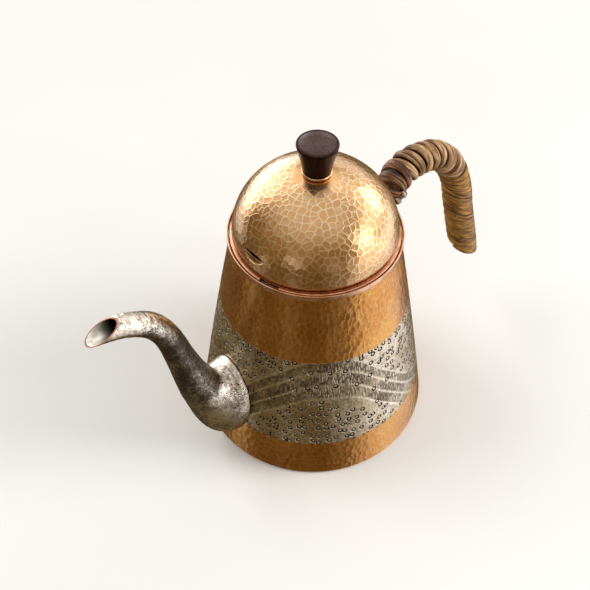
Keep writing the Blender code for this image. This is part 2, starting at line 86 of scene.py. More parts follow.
# The spout, as in the part: the foot oval on the wall, then its middle line as (distance from
# the axis, height, half width, half height), and the slant of its mouth. Its lining is painted with
# shade from just inside the mouth, deepening inwards, and patina scratches are turned by SCRATCH_TURN.
SPOUT_FOOT = (0.0335, 0.0160, 0.0238)
SPOUT_LINE = (
    (0.0701, 0.0549, 0.0099, 0.0101),
    (0.0738, 0.0675, 0.0085, 0.0084),
    (0.0773, 0.0817, 0.0072, 0.0071),
    (0.0800, 0.0934, 0.0066, 0.0065),
    (0.0824, 0.1018, 0.0063, 0.0062),
    (0.0854, 0.1087, 0.0061, 0.0060),
    (0.0890, 0.1142, 0.0060, 0.0059),
    (0.0938, 0.1188, 0.0057, 0.0056),
    (0.1002, 0.1227, 0.0054, 0.0053),
    (0.1056, 0.1247, 0.0051, 0.0049),
    (0.1108, 0.1259, 0.0048, 0.0045),
)
MOUTH_SLANT = math.radians(-57)
BULB_FULLNESS = (0.95, 0.85)
INNER_SHADE_START = 0.1120
INNER_SHADE_REACH = 0.0070
SCRATCH_TURN = (0.0, math.radians(22), math.radians(-66))

# The winding's middle line, as (distance from the axis, height, radius).
WRAP_LINE = (
    (0.0453, 0.1199, 0.0063),
    (0.0477, 0.1237, 0.0079),
    (0.0513, 0.1270, 0.0084),
    (0.0557, 0.1287, 0.0084),
    (0.0606, 0.1291, 0.0083),
    (0.0676, 0.1281, 0.0080),
    (0.0737, 0.1254, 0.0078),
    (0.0805, 0.1198, 0.0078),
    (0.0863, 0.1124, 0.0079),
    (0.0903, 0.1042, 0.0080),
    (0.0935, 0.0955, 0.0081),
    (0.0971, 0.0820, 0.0082),
    (0.1017, 0.0655, 0.0083),
    (0.1060, 0.0505, 0.0083),
    (0.1086, 0.0410, 0.0082),
)
END_SLANT = math.radians(40)
BEND_SLANT = math.radians(12)

# The flat binding below it, down the strap behind the rim, with a half width and half height.
ROOT_LINE = (
    (0.0447, 0.1129, 0.0066, 0.0026),
    (0.0441, 0.1154, 0.0072, 0.0026),
    (0.0441, 0.1180, 0.0078, 0.0027),
    (0.0454, 0.1206, 0.0084, 0.0050),
    (0.0477, 0.1237, 0.0086, 0.0079),
    (0.0513, 0.1270, 0.0086, 0.0084),
)


def linear_colour(channels):
    """A screen colour, 0 to 255 a channel, as the linear colour that nodes take."""
    linear = []
    for channel in channels:
        part = channel / 255
        linear.append(part / 12.92 if part <= 0.04045 else ((part + 0.055) / 1.055) ** 2.4)
    return (*linear, 1.0)


# ---- Materials ----


class Nodes:
    """A node tree and a short way to write in it. Most calls give an output socket."""

    def __init__(self, tree):
        self.tree = tree

    def join(self, socket, value):
        """Links a socket or sets it. A colour of three numbers is a screen colour."""
        if isinstance(value, bpy.types.NodeSocket):
            self.tree.links.new(value, socket)
        elif value is not None:
            on_screen = socket.type == "RGBA" and len(value) == 3
            socket.default_value = linear_colour(value) if on_screen else value

    def node(self, kind, inputs=(), **settings):
        made = self.tree.nodes.new(kind)
        for key, value in settings.items():
            setattr(made, key, value)
        for key, value in dict(inputs).items():
            self.join(made.inputs[key], value)
        return made

    def spread(self, value, low, high, to_low=0.0, to_high=1.0):
        inputs = {0: value, 1: low, 2: high, 3: to_low, 4: to_high}
        return self.node("ShaderNodeMapRange", inputs, interpolation_type="SMOOTHSTEP").outputs[0]

    def maths(self, operation, first, second=0.5, clamp=False):
        settings = {"operation": operation, "use_clamp": clamp}
        return self.node("ShaderNodeMath", {0: first, 1: second}, **settings).outputs[0]

    def plus(self, first, second, clamp=False):
        return self.maths("ADD", first, second, clamp)

    def times(self, first, second):
        return self.maths("MULTIPLY", first, second)

    def inverse(self, value):
        return self.maths("SUBTRACT", 1.0, value)


class Shader(Nodes):
    """A material, painted in layers of colour and relief over a first tone."""

    def __init__(self, name, tone, **surface):
        self.material = bpy.data.materials.new(name)
        self.material.use_nodes = True
        super().__init__(self.material.node_tree)
        self.surface = self.tree.nodes["Principled BSDF"]
        self.place = self.node("ShaderNodeTexCoord").outputs["Object"]
        self.tone = tone
        self.relief = None
        self.set(**surface)

    def set(self, **surface):
        """Sets the surface's sockets; a name's underscores stand for spaces."""
        for key, value in surface.items():
            self.join(self.surface.inputs[key.replace("_", " ")], value)

    def stretched(self, x, y, z):
        inputs = {"Vector": self.place, "Scale": (x, y, z)}
        return self.node("ShaderNodeMapping", inputs).outputs["Vector"]

    def scratched(self, length, width):
        """Places turned and drawn out, for scratches of that length and width in mm."""
        inputs = {0: self.place, 2: SCRATCH_TURN, 3: (length * MM, width * MM, width * MM)}
        return self.node("ShaderNodeMapping", inputs, vector_type="TEXTURE").outputs["Vector"]

    def noise(self, scale, detail=2.0, vector=None, distortion=0.0):
        inputs = {"Vector": vector or self.place, "Scale": scale, "Detail": detail, "Distortion": distortion}
        return self.node("ShaderNodeTexNoise", inputs).outputs["Fac"]

    def cells(self, scale, vector=None, feature="F1"):
        inputs = {"Vector": vector or self.place, "Scale": scale}
        return self.node("ShaderNodeTexVoronoi", inputs, feature=feature).outputs["Distance"]

    def mixed(self, factor, first, second):
        return self.node("ShaderNodeMix", {0: factor, 6: first, 7: second}, data_type="RGBA").outputs[2]

    def paint(self, strength, tone):
        """Lays a colour over the ones before it."""
        self.tone = self.mixed(strength, self.tone, tone)

    def stored(self, name, output="Fac"):
        return self.node("ShaderNodeAttribute", attribute_name=name).outputs[output]

    def bump(self, height, depth, strength):
        """Adds a relief of that depth over the ones before it."""
        inputs = {"Height": height, "Distance": depth, "Strength": strength, "Normal": self.relief}
        self.relief = self.node("ShaderNodeBump", inputs).outputs["Normal"]

    def finished(self, roughness):
        self.set(Base_Color=self.tone, Roughness=roughness, Normal=self.relief)
        return self.material


def copper(name, body, bright, deep, ridge_wear_and_sheen, roughness, lacquer, streak=1.0):
    """Lacquered hammered copper: ridges painted lighter than the hollows, partly as polish wear and partly as
    a painted highlight, uneven oxide, and painted shade where the vent is pressed in.
    """
    s = Shader(name, deep, Metallic=1.0, Coat_Weight=lacquer, Coat_IOR=1.75, Coat_Roughness=0.20)
    ridge = s.spread(s.stored("ridge"), 0.22, 0.90)
    cloud = s.noise(38.0, 4.0, s.stretched(1.0, 1.0, 0.55), 0.4)
    drift = s.noise(420.0, 3.0, s.stretched(1.0, 1.0, streak))
    s.paint(s.spread(cloud, 0.36, 0.68), body)
    s.paint(s.spread(drift, 0.50, 0.78, 0.0, 0.35), bright)
    # Ridges painted lighter: partly polish wear, partly a painted highlight on their tops.
    s.paint(s.times(ridge, ridge_wear_and_sheen), bright)
    s.paint(s.spread(s.noise(1500.0, 2.0), 0.66, 0.78, 0.0, 0.35), deep)
    # Painted shade in the lid's pressed-in vent flap.
    s.paint(s.times(s.stored("shade"), 0.45), (74, 48, 18))
    s.bump(s.noise(1300.0, 3.0, s.stretched(1.0, 1.0, 0.5)), 0.00003, 0.45)
    s.bump(ridge, 0.00005, 0.7)
    return s.finished(s.spread(s.noise(90.0, 3.0), 0.3, 0.7, roughness - 0.05, roughness + 0.07))


def tinned_band():
    """Tinned copper, stamped with rings and chased with upright strokes, dark in the hollows; the rings'
    grooves are painted near black, partly grime and partly painted shade, and their raised eyes carry a
    painted highlight.
    """
    s = Shader("stamped_tin", (214, 196, 160), Metallic=1.0)
    stamp, stripe = s.stored("stamp"), s.stored("stripe")
    line = s.times(s.stored("line"), s.spread(s.noise(640.0, 2.0), 0.34, 0.56, 0.30, 1.0))
    ring = s.maths("ABSOLUTE", s.maths("SUBTRACT", stamp, 1.0))
    groove = s.times(s.spread(ring, 0.14, 0.48, 1.0, 0.0), s.spread(s.noise(800.0, 2.0), 0.26, 0.44))
    eye = s.spread(stamp, 0.20, 0.62, 1.0, 0.0)
    edge = s.cells(780.0, s.stretched(1.0, 1.0, 0.12), "DISTANCE_TO_EDGE")
    stroke = s.times(s.spread(edge, 0.02, 0.20, 1.0, 0.0), stripe)
    stroke = s.times(stroke, s.spread(s.noise(60.0, 2.0), 0.38, 0.62, 0.40, 1.0))
    mottle = s.spread(s.noise(820.0, 5.0), 0.42, 0.62)
    smoke = s.spread(s.noise(95.0, 3.0, None, 0.5), 0.40, 0.62)

    s.paint(s.spread(s.noise(55.0, 3.0), 0.38, 0.62), (246, 234, 206))
    s.paint(s.times(mottle, 0.55), (128, 106, 76))
    s.paint(s.times(s.times(smoke, stripe), 0.45), (86, 66, 42))
    s.paint(s.times(stroke, 0.72), (62, 48, 30))
    s.paint(s.times(line, 0.95), (255, 244, 216))
    # The rings' grooves painted near black: partly grime, partly painted shade.
    s.paint(groove, (16, 10, 6))
    # A painted highlight on each ring's raised eye.
    s.paint(s.times(eye, 0.85), (246, 238, 218))
    s.bump(s.inverse(groove), 0.00034, 1.0)
    s.bump(s.inverse(stroke), 0.00014, 0.9)
    s.bump(s.noise(1100.0, 4.0), 0.00008, 0.8)
    return s.finished(s.spread(s.noise(260.0, 3.0), 0.3, 0.7, 0.24, 0.38))


def tinned_spout():
    """Tin over hammered copper, mottled with a brown and black patina, which is also laid thick as painted
    shade on the neck and its underside and thinned as a painted highlight on the bend and the bulb's
    shoulder.
    """
    s = Shader("mottled_tin", (240, 230, 208), Metallic=1.0)
    ridge = s.stored("ridge")
    fine = s.noise(1.0, 4.0, s.scratched(2.6, 0.48), 0.6)
    middle = s.noise(1.0, 4.0, s.scratched(3.6, 1.5), 0.5)
    broad = s.noise(75.0, 4.0, None, 0.5)
    patina = s.plus(s.spread(fine, 0.46, 0.62, 0.0, 0.75), s.spread(middle, 0.48, 0.66, 0.0, 0.5))
    patina = s.plus(patina, s.spread(broad, 0.40, 0.66, -0.35, 0.30))
    patina = s.maths("SUBTRACT", patina, s.times(ridge, 0.25))
    # Painted light: the patina thickens where the spout is marked dark and thins where it is marked bright.
    patina = s.plus(patina, s.spread(s.stored("painted_light"), 0.0, 1.0, 0.86, -0.12), True)
    s.paint(s.times(patina, 0.90), (46, 35, 22))
    s.paint(s.spread(s.noise(150.0, 3.0), 0.64, 0.80, 0.0, 0.16), (168, 112, 66))
    s.paint(s.stored("bare"), (204, 138, 100))
    s.bump(fine, 0.00012, 0.9)
    s.bump(ridge, 0.00004, 0.7)
    return s.finished(s.plus(s.spread(fine, 0.35, 0.65, 0.22, 0.36), s.times(patina, 0.16)))


def tin_lining():
    """The wiped tin inside the kettle: pale, with soft swirls, and painted shade deep inside the spout."""
    s = Shader("tin_lining", (250, 246, 232), Metallic=0.60)
    swirl = s.noise(160.0, 4.0, None, 1.2)
    s.paint(s.spread(swirl, 0.35, 0.70), (208, 198, 178))
    # Painted shade, deepening into the spout.
    s.paint(s.stored("inner_shade"), (26, 22, 18))
    s.bump(swirl, 0.00008, 0.6)
    return s.finished(s.spread(swirl, 0.3, 0.7, 0.28, 0.44))


def plain_metal(name, body, deep, roughness):
    """Turned or filed metal with light handling marks, for the rings and fittings."""
    s = Shader(name, body, Metallic=1.0)
    hairline = s.noise(2600.0, 2.0, s.stretched(0.25, 0.25, 1.0))
    s.paint(s.spread(s.noise(140.0, 4.0), 0.40, 0.72), deep)
    s.paint(s.spread(hairline, 0.60, 0.80, 0.0, 0.30), deep)
    s.bump(hairline, 0.00003, 0.5)
    return s.finished(s.spread(s.noise(300.0, 3.0), 0.3, 0.7, roughness - 0.05, roughness + 0.08))


def rosewood():
    """Dark oiled rosewood with straight upright grain and open pores, waxed on its crown, whose colour is
    painted lighter as a painted sheen.
    """
    s = Shader("rosewood", (9, 2, 1), Metallic=0.0, Coat_Roughness=0.26, Specular_IOR_Level=0.10)
    figure = s.noise(520.0, 4.0, s.stretched(1.0, 0.22, 0.08), 0.4)
    fibre = s.noise(2100.0, 3.0, s.stretched(1.0, 0.25, 0.08))
    pores = s.spread(s.noise(3200.0, 1.0, s.stretched(1.0, 0.3, 0.12)), 0.62, 0.74)
    crown = s.stored("crown")
    s.set(Specular_Tint=(220, 120, 90), Coat_Weight=s.spread(crown, 0.0, 1.0, 0.05, 0.75))
    s.paint(s.spread(figure, 0.40, 0.64), (40, 9, 5))
    s.paint(s.spread(fibre, 0.46, 0.68, 0.0, 0.75), (13, 4, 3))
    s.paint(s.times(pores, 0.8), (8, 4, 3))
    # A painted sheen: the crown painted a lighter grey-brown.
    crown_sheen = s.mixed(s.spread(fibre, 0.40, 0.66), (74, 50, 42), (50, 30, 24))
    s.paint(s.times(crown, 0.85), crown_sheen)
    s.bump(fibre, 0.00003, 0.4)
    s.bump(s.inverse(pores), 0.00004, 0.5)
    return s.finished(s.spread(fibre, 0.3, 0.7, 0.30, 0.44))


def vine(name, pale, body, dark, gap_shade):
    """Split vine: long fibres along each length, with painted shade between turns and in the creases."""
    sheen = {"Specular_IOR_Level": 0.45, "Coat_Weight": 0.12, "Coat_Roughness": 0.35}
    s = Shader(name, body, Metallic=0.0, **sheen)
    lay = s.stored("lay", "Vector")

    def along(length, width):
        """Noise drawn out along the lay: the features' length and width in mm."""
        place = s.node("ShaderNodeMapping", {0: lay, 3: (1 / length, 1 / width, 1.0)})
        return s.noise(1.0, 4.0, place.outputs[0])

    fibres, hairs, patches, bruises = along(11.0, 0.55), along(5.0, 0.17), along(7.0, 3.0), along(2.4, 1.3)
    s.paint(s.spread(patches, 0.36, 0.62), pale)
    s.paint(s.spread(bruises, 0.56, 0.70, 0.0, 0.65), dark)
    s.paint(s.spread(fibres, 0.46, 0.62, 0.0, 0.90), dark)
    s.paint(s.spread(hairs, 0.52, 0.70, 0.0, 0.70), dark)
    # Painted shade between the turns and on the canes' hidden sides.
    s.paint(s.times(s.stored("crease_shade"), gap_shade), (14, 8, 4))
    s.bump(s.inverse(fibres), 0.00030, 0.9)
    s.bump(s.inverse(hairs), 0.00012, 0.8)
    return s.finished(s.spread(fibres, 0.35, 0.7, 0.38, 0.62))


def make_materials():
    lid = {"body": (230, 178, 106), "bright": (255, 238, 192), "deep": (214, 158, 84)}
    body = {"body": (228, 166, 76), "bright": (252, 214, 146), "deep": (206, 136, 52)}
    return {
        "lid": copper("lid_copper", ridge_wear_and_sheen=0.72, roughness=0.27, lacquer=0.85, **lid),
        "body": copper("body_copper", ridge_wear_and_sheen=0.34, roughness=0.27, lacquer=0.20, streak=0.35, **body),
        "rim": plain_metal("rim_copper", (246, 202, 164), (222, 160, 120), 0.26),
        "seat": plain_metal("seat_copper", (240, 184, 146), (208, 142, 104), 0.30),
        "fittings": plain_metal("fittings_brass", (250, 216, 168), (214, 168, 112), 0.24),
        "strap": plain_metal("strap_copper", (104, 66, 42), (62, 38, 24), 0.42),
        "lining": tin_lining(),
        "band": tinned_band(),
        "spout": tinned_spout(),
        "wood": rosewood(),
        "root": vine("vine_root", (162, 120, 84), (112, 74, 44), (36, 22, 12), 1.0),
        "knot": vine("vine_knot", (206, 190, 172), (150, 130, 112), (52, 38, 28), 0.8),
        "bend": vine("vine_coarse", (212, 170, 118), (144, 98, 50), (48, 28, 12), 1.0),
        "grip": vine("vine_fine", (190, 138, 50), (138, 90, 24), (42, 25, 5), 1.0),
    }


# ---- Mesh tools ----


def circle(count):
    """Angles all the way round."""
    return np.linspace(0, 2 * math.pi, count, endpoint=False)


def radius_of(points):
    return np.hypot(points[..., 0], points[..., 1])


def azimuth_of(points):
    return np.arctan2(points[..., 1], points[..., 0])


def clamp(value):
    return np.clip(value, 0, 1)


def turn_from(angle, start):
    """The turn from one angle to another, the shorter way."""
    return (angle - start + math.pi) % (2 * math.pi) - math.pi


def unit(vectors):
    return vectors / np.linalg.norm(vectors, axis=-1, keepdims=True)


def distance_along(points):
    """How far along the line each of its points lies."""
    return np.concatenate([[0], np.cumsum(np.linalg.norm(np.diff(points, axis=0), axis=1))])


def around_axis(radius, angle, height):
    """Points at that radius, angle and height."""
    return np.stack([radius * np.cos(angle), radius * np.sin(angle), height + 0 * angle], axis=-1)


def added(name, data):
    """A new object, linked to the scene."""
    made = bpy.data.objects.new(name, data)
    bpy.context.scene.collection.objects.link(made)
    return made


def padded(values, rows):
    """The stored values, with zeros for further rows of points."""
    return {key: np.pad(value, ((0, rows), (0, 0))) for key, value in values.items()}


def grid_faces(rows, columns, wrap_rows=True):
    """Quads over a grid of points whose columns run round and join."""
    steps = rows if wrap_rows else rows - 1
    row, column = np.meshgrid(np.arange(steps), np.arange(columns), indexing="ij")
    beside = (column + 1) % columns
    row, below = row * columns, (row + 1) % rows * columns
    corners = (row + column, row + beside, below + beside, below + column)
    return np.stack(corners, axis=-1).reshape(-1, 4)


def signed_volume(points, faces):
    a, b, c, d = (points[faces[:, k]] - points.mean(axis=0) for k in range(4))
    return (np.einsum("ij,ij->i", a, np.cross(b, c)) + np.einsum("ij,ij->i", a, np.cross(c, d))).sum()


def grid_mesh(name, grid, wrap_rows=True, inner_from=None, values=()):
    """A closed mesh over rings of points, with end caps unless its rows wrap. Faces from the
    row inner_from on take the second material. values are kept on the points by name."""
    rows, columns = grid.shape[:2]
    points = grid.reshape(-1, 3)
    faces = grid_faces(rows, columns, wrap_rows)
    flip = signed_volume(points, faces) < 0
    if flip:
        faces = faces[:, ::-1]
    face_list = faces.tolist()
    if not wrap_rows:
        first = list(range(columns))
        last = [(rows - 1) * columns + i for i in range(columns)]
        face_list += [first, last[::-1]] if flip else [first[::-1], last]
    mesh = bpy.data.meshes.new(name)
    mesh.from_pydata(points.tolist(), [], face_list)
    if inner_from is not None:
        index = (np.arange(len(face_list)) // columns >= inner_from).astype(np.int32)
        mesh.polygons.foreach_set("material_index", index)
    for key, value in dict(values).items():
        kind = "FLOAT_VECTOR" if value.ndim == 3 else "FLOAT"
        kept = mesh.attributes.new(key, kind, "POINT")
        kept.data.foreach_set("vector" if value.ndim == 3 else "value", value.astype(np.float32).ravel())
    mesh.shade_smooth()
    mesh.set_sharp_from_angle(angle=math.radians(50))
    return mesh


def show(name, grid, body, slot, finishes, stands_for=(), **settings):
    """Adds rings of points as a visible piece that rides on a body and stands for CAD nodes."""
    mesh = grid_mesh(name, grid, **settings)
    piece = added(name, mesh)
    for finish in finishes:
        mesh.materials.append(looks[finish])
    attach(piece, body)
    if stands_for:
        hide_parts(*stands_for)
    return piece


def turned(profile, columns):
    """Rings of points from a profile of (radius, height) taken round +Z."""
    profile = np.asarray(profile)
    return around_axis(profile[:, :1], circle(columns), profile[:, 1:])


def rounded(corners, radius, steps=4, closed=True):
    """A profile with each corner eased by a short curve."""
    corners = [np.array(corner, float) for corner in corners]
    count = len(corners)
    points = []
    for i, corner in enumerate(corners):
        if not closed and i in (0, count - 1):
            points.append(corner)
            continue
        before, after = corners[i - 1] - corner, corners[(i + 1) % count] - corner
        reach = min(radius, 0.49 * np.linalg.norm(before), 0.49 * np.linalg.norm(after))
        start = corner + before / np.linalg.norm(before) * reach
        end = corner + after / np.linalg.norm(after) * reach
        for t in np.linspace(0, 1, steps + 1):
            points.append(start * (1 - t) ** 2 + corner * 2 * t * (1 - t) + end * t**2)
    return np.array(points)


def refined(profile, spacing):
    """The profile with points added so that none are further apart than the spacing."""
    points = [profile[0]]
    for first, second in zip(profile, profile[1:]):
        count = max(1, math.ceil(np.linalg.norm(second - first) / spacing))
        points += [first + (second - first) * k / count for k in range(1, count + 1)]
    return np.array(points)


def grid_normals(grid):
    """Unit normals over a grid of points, pointing to the left of the rows' direction."""
    around = np.roll(grid, -1, axis=1) - np.roll(grid, 1, axis=1)
    normal = np.cross(around, np.gradient(grid, axis=0))
    return normal / np.maximum(np.linalg.norm(normal, axis=2, keepdims=True), 1e-12)


def ripple(grid, waves, chance):
    """A smooth random field over a grid, from -1 to 1, made of waves of (length in mm)."""
    total = np.zeros(grid.shape[:2])
    for length in waves:
        for _ in range(4):
            way = np.array([chance.gauss(0, 1) for _ in range(3)])
            way /= np.linalg.norm(way)
            phase = chance.uniform(0, 2 * math.pi)
            total += np.sin(grid @ way * (2 * math.pi / (length * MM)) + phase)
    return total / (4 * len(waves)) * 1.6


def mark_rows(outline, across, down, chance, jitter=0.27, missed=0.0):
    """Where the hammer fell on a turned surface: rows round it, each blow a little off."""
    outline = np.asarray(outline)
    reached = distance_along(outline)
    marks = []
    for row in range(int(reached[-1] / down) + 2):
        start = (row - 0.5) * down
        radius = np.interp(start, reached, outline[:, 0])
        count = max(1, round(2 * math.pi * radius / across))
        phase = chance.uniform(0, 2 * math.pi)
        for i in range(count):
            at = start + chance.uniform(-jitter, jitter) * down
            angle = phase + 2 * math.pi * (i + chance.uniform(-jitter, jitter)) / count
            radius = np.interp(at, reached, outline[:, 0])
            height = np.interp(at, reached, outline[:, 1])
            if chance.random() >= missed:
                marks.append((radius * math.cos(angle), radius * math.sin(angle), height))
    return np.array(marks)


def nearest_marks(grid, marks, count, stretch=1.0):
    """Distances to the nearest marks, and which they are. stretch > 1 lengthens marks upright."""
    scale = np.array([1.0, 1.0, 1.0 / stretch])
    tree = kdtree.KDTree(len(marks))
    for index, mark in enumerate(marks * scale):
        tree.insert(mark, index)
    tree.balance()
    points = (grid * scale).reshape(-1, 3)
    distance = np.empty((len(points), count))
    which = np.empty((len(points), count), int)
    for i, point in enumerate(points.tolist()):
        for k, (_, index, gap) in enumerate(tree.find_n(point, count)):
            distance[i, k] = gap
            which[i, k] = index
    shape = grid.shape[:2] + (count,)
    return distance.reshape(shape), which.reshape(shape)


def wavered(grid, chance):
    """The grid's points moved a little, so that the ridges between blows come out curved."""
    return grid + 0.00040 * np.stack([ripple(grid, (7.0, 3.4), chance) for _ in range(3)], axis=-1)


def hammered(grid, marks, size, depth, chance, stretch=1.0, line=0.00030):
    """(depth below the ridges, closeness to a ridge) where round-faced blows overlap."""
    distance, which = nearest_marks(wavered(grid, chance), marks, 3, stretch)
    curve = depth / (size / 2) ** 2
    start = np.array([chance.uniform(0, 0.35) * depth for _ in marks])
    bowls = curve * distance**2 + start[which]
    order = np.argsort(bowls, axis=2)[:, :, :2]
    first, second = np.moveaxis(np.take_along_axis(bowls, order, 2), 2, 0)
    spots = marks[np.take_along_axis(which, order, 2)] / [1.0, 1.0, stretch]
    apart = np.linalg.norm(spots[:, :, 0] - spots[:, :, 1], axis=2)
    top = depth * 1.45
    sunk = top - np.minimum(first, top)
    away = (second - first) / (2 * curve * np.maximum(apart, size / 3))
    return sunk, np.exp(-((away / line) ** 2))


class MiddleLine:
    """A tube's middle line in the XZ plane, read by the share of its length."""

    STEPS = 2001

    def __init__(self, rows, side):
        # A row with a single radius is a round section.
        rows = np.array(rows)[:, [0, 1, 2, -1]]
        beyond = 2 * rows[[0, -1]] - rows[[1, -2]]
        self.rows = np.vstack([beyond[:1], rows, beyond[1:]])
        self.side = side
        fine = self.curve(np.linspace(0, 1, self.STEPS))
        self.reached = distance_along(fine[:, :2])
        self.length = self.reached[-1]

    def curve(self, position):
        """A Catmull-Rom curve through the rows, at positions from 0 to 1."""
        along = clamp(position) * (len(self.rows) - 3)
        index = np.minimum(along.astype(int), len(self.rows) - 4)
        t = (along - index)[:, None]
        a, b, c, d = (self.rows[index + k] for k in range(4))
        bend, twist = 2 * a - 5 * b + 4 * c - d, 3 * b - a - 3 * c + d
        return 0.5 * (2 * b + (c - a) * t + bend * t**2 + twist * t**3)

    def at(self, share):
        """Centres, outward normals, tangents, half widths and half heights at the shares."""
        share = np.atleast_1d(share)
        place = np.interp(share * self.length, self.reached, np.linspace(0, 1, self.STEPS))
        here = self.curve(place)
        ahead, back = self.curve(np.minimum(place + 0.002, 1)), self.curve(np.maximum(place - 0.002, 0))
        step = unit(ahead[:, :2] - back[:, :2])
        zero = np.zeros(len(share))
        centre = np.stack([self.side * here[:, 0], zero, here[:, 1]], axis=1)
        tangent = np.stack([self.side * step[:, 0], zero, step[:, 1]], axis=1)
        normal = np.stack([-self.side * step[:, 1], zero, step[:, 0]], axis=1)
        return centre, normal, tangent, here[:, 2], here[:, 3]

    def rings(self, share, columns, less=0.0, slant=0.0):
        """Rings of points across the line, with less taken off all round."""
        centre, normal, tangent, half_width, half_height = self.at(share)
        angle = circle(columns)
        across = (half_width[:, None] - less) * np.cos(angle)
        along = (half_height[:, None] - less) * np.sin(angle)
        lean = along * np.tan(np.broadcast_to(slant, len(centre)))[:, None]
        sideways = np.stack([0 * across, across, 0 * across], axis=-1)
        upward, forward = normal[:, None] * along[..., None], tangent[:, None] * lean[..., None]
        return centre[:, None] + sideways + upward + forward


# ---- The body ----


def wall_line():
    """The body's outer radius as a function of height, read from the CAD wall's corners."""
    corners = np.array([corner.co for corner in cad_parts["body_wall"].data.vertices])
    radius = radius_of(corners)
    outermost = {}
    for height, reach in zip(np.round(corners[:, 2], 6), radius):
        outermost[height] = max(outermost.get(height, 0.0), reach)
    top = max(outermost)
    rings = []
    for height, reach in outermost.items():
        straight = TOP_RADIUS + (FOOT_RADIUS - TOP_RADIUS) * (1 - height / top)
        if height > FOOT_EDGE and reach > straight - 0.0004:
            rings.append((height, reach))
    return np.poly1d(np.polyfit(*zip(*rings), 2))


def stripe_place(grid):
    """How far each point lies above the middle border of the chased stripes."""
    azimuth = azimuth_of(grid)
    turn = azimuth - STRIPE_CREST_AZIMUTH
    arch = STRIPE_CREST_HEIGHT - STRIPE_SWING * (1 - np.cos(2 * turn))
    waver = 0.0006 * np.sin(7 * azimuth + 1.0) + 0.0004 * np.sin(13 * azimuth)
    return grid[..., 2] - arch - waver


def stamp_marks(outline, chance):
    """Ring stamps all over the band, kept to the borders where the stripes run."""
    marks = mark_rows(outline, STAMP_SPACING, STAMP_SPACING, chance, 0.36)
    place = stripe_place(marks)
    high, low = STRIPE_BORDERS[0] + 0.0014, STRIPE_BORDERS[-1] - 0.0014
    kept = []
    for mark, above in zip(marks, place):
        inside = low < above < high
        nearest = min(abs(above - border) for border in STRIPE_BORDERS)
        if chance.random() < (0.45 if inside else 0.94) and (not inside or nearest < 0.0010):
            kept.append(mark)
    return np.array(kept)


def wall_piece(name, low, high, row_height, relief, finish, slot, stands_for=()):
    """One zone of the body's sheet as a closed ring, its outside sunk by relief(grid)."""
    rows = max(2, round((high - low) / row_height)) + 1
    heights = np.linspace(high, low, rows)
    inner_heights = np.linspace(low, high, 5)
    inside = turned(np.stack([wall(inner_heights) - SHEET, inner_heights], axis=1), WALL_COLUMNS)
    grid = turned(np.stack([wall(heights), heights], axis=1), WALL_COLUMNS)
    sunk, values = relief(grid)
    grid = grid - unit(grid * [1, 1, 0]) * sunk[..., None]
    full = np.concatenate([grid, inside])
    settings = {"inner_from": rows - 1, "values": padded(values, len(inside))}
    show(name, full, "kettle", slot, (finish, "lining"), stands_for, **settings)


def make_wall():
    chance = random.Random(SEED)
    heights = np.linspace(wall_top, 0, 60)
    outline = np.stack([wall(heights), heights], axis=1)
    blows = mark_rows(outline, 0.0027, 0.0036, chance, jitter=0.40, missed=0.08)
    stamps = stamp_marks(outline[(heights > BAND_LOW - 0.001) & (heights < BAND_HIGH + 0.0005)], chance)

    def dented(grid, depth):
        return hammered(grid, blows, 0.0029, depth, random.Random(SEED), stretch=1.35, line=0.00026)

    def planished(grid):
        sunk, ridge = dented(grid, 0.000095)
        return sunk, {"ridge": ridge}

    def stamped(grid):
        sunk, ridge = dented(grid, 0.00004)
        ease = clamp(np.minimum(grid[..., 2] - BAND_LOW, BAND_HIGH - grid[..., 2]) / 0.0006)
        away = nearest_marks(grid, stamps, 1)[0][..., 0]
        above = stripe_place(grid)
        low, high = STRIPE_BORDERS[-1], STRIPE_BORDERS[0]
        stripe = clamp((above - low) / 0.0006) * clamp((high - above) / 0.0006)
        line = np.zeros_like(above)
        for border in STRIPE_BORDERS:
            line = np.maximum(line, np.exp(-(((above - border) / 0.00070) ** 2)))
        around = azimuth_of(grid)
        scallop = 0.5 + 0.5 * np.cos(178 * around + 2.2 * np.sin(9 * around + 400 * grid[..., 2]))
        chased = stripe * (1 - line) * (0.00005 + 0.00008 * scallop)
        eye = 0.7 * np.exp(-((away / 0.00050) ** 2))
        dish = 0.00018 * np.exp(-((away / STAMP_RADIUS) ** 4)) * (1 - eye)
        values = {"ridge": ridge, "stamp": np.minimum(away / MM, 3.0), "stripe": stripe * (1 - line)}
        return sunk + ease * (chased + dish), {**values, "line": line}

    plain = (0.0008, planished, "body", "hammered_copper")
    band = (0.00044, stamped, "band", "tinned_copper", ("body_wall",))
    wall_piece("body_wall_upper", BAND_HIGH, wall_top, *plain)
    wall_piece("body_wall_band", BAND_LOW, BAND_HIGH, *band)
    wall_piece("body_wall_lower", FOOT_TOP, BAND_LOW, *plain)


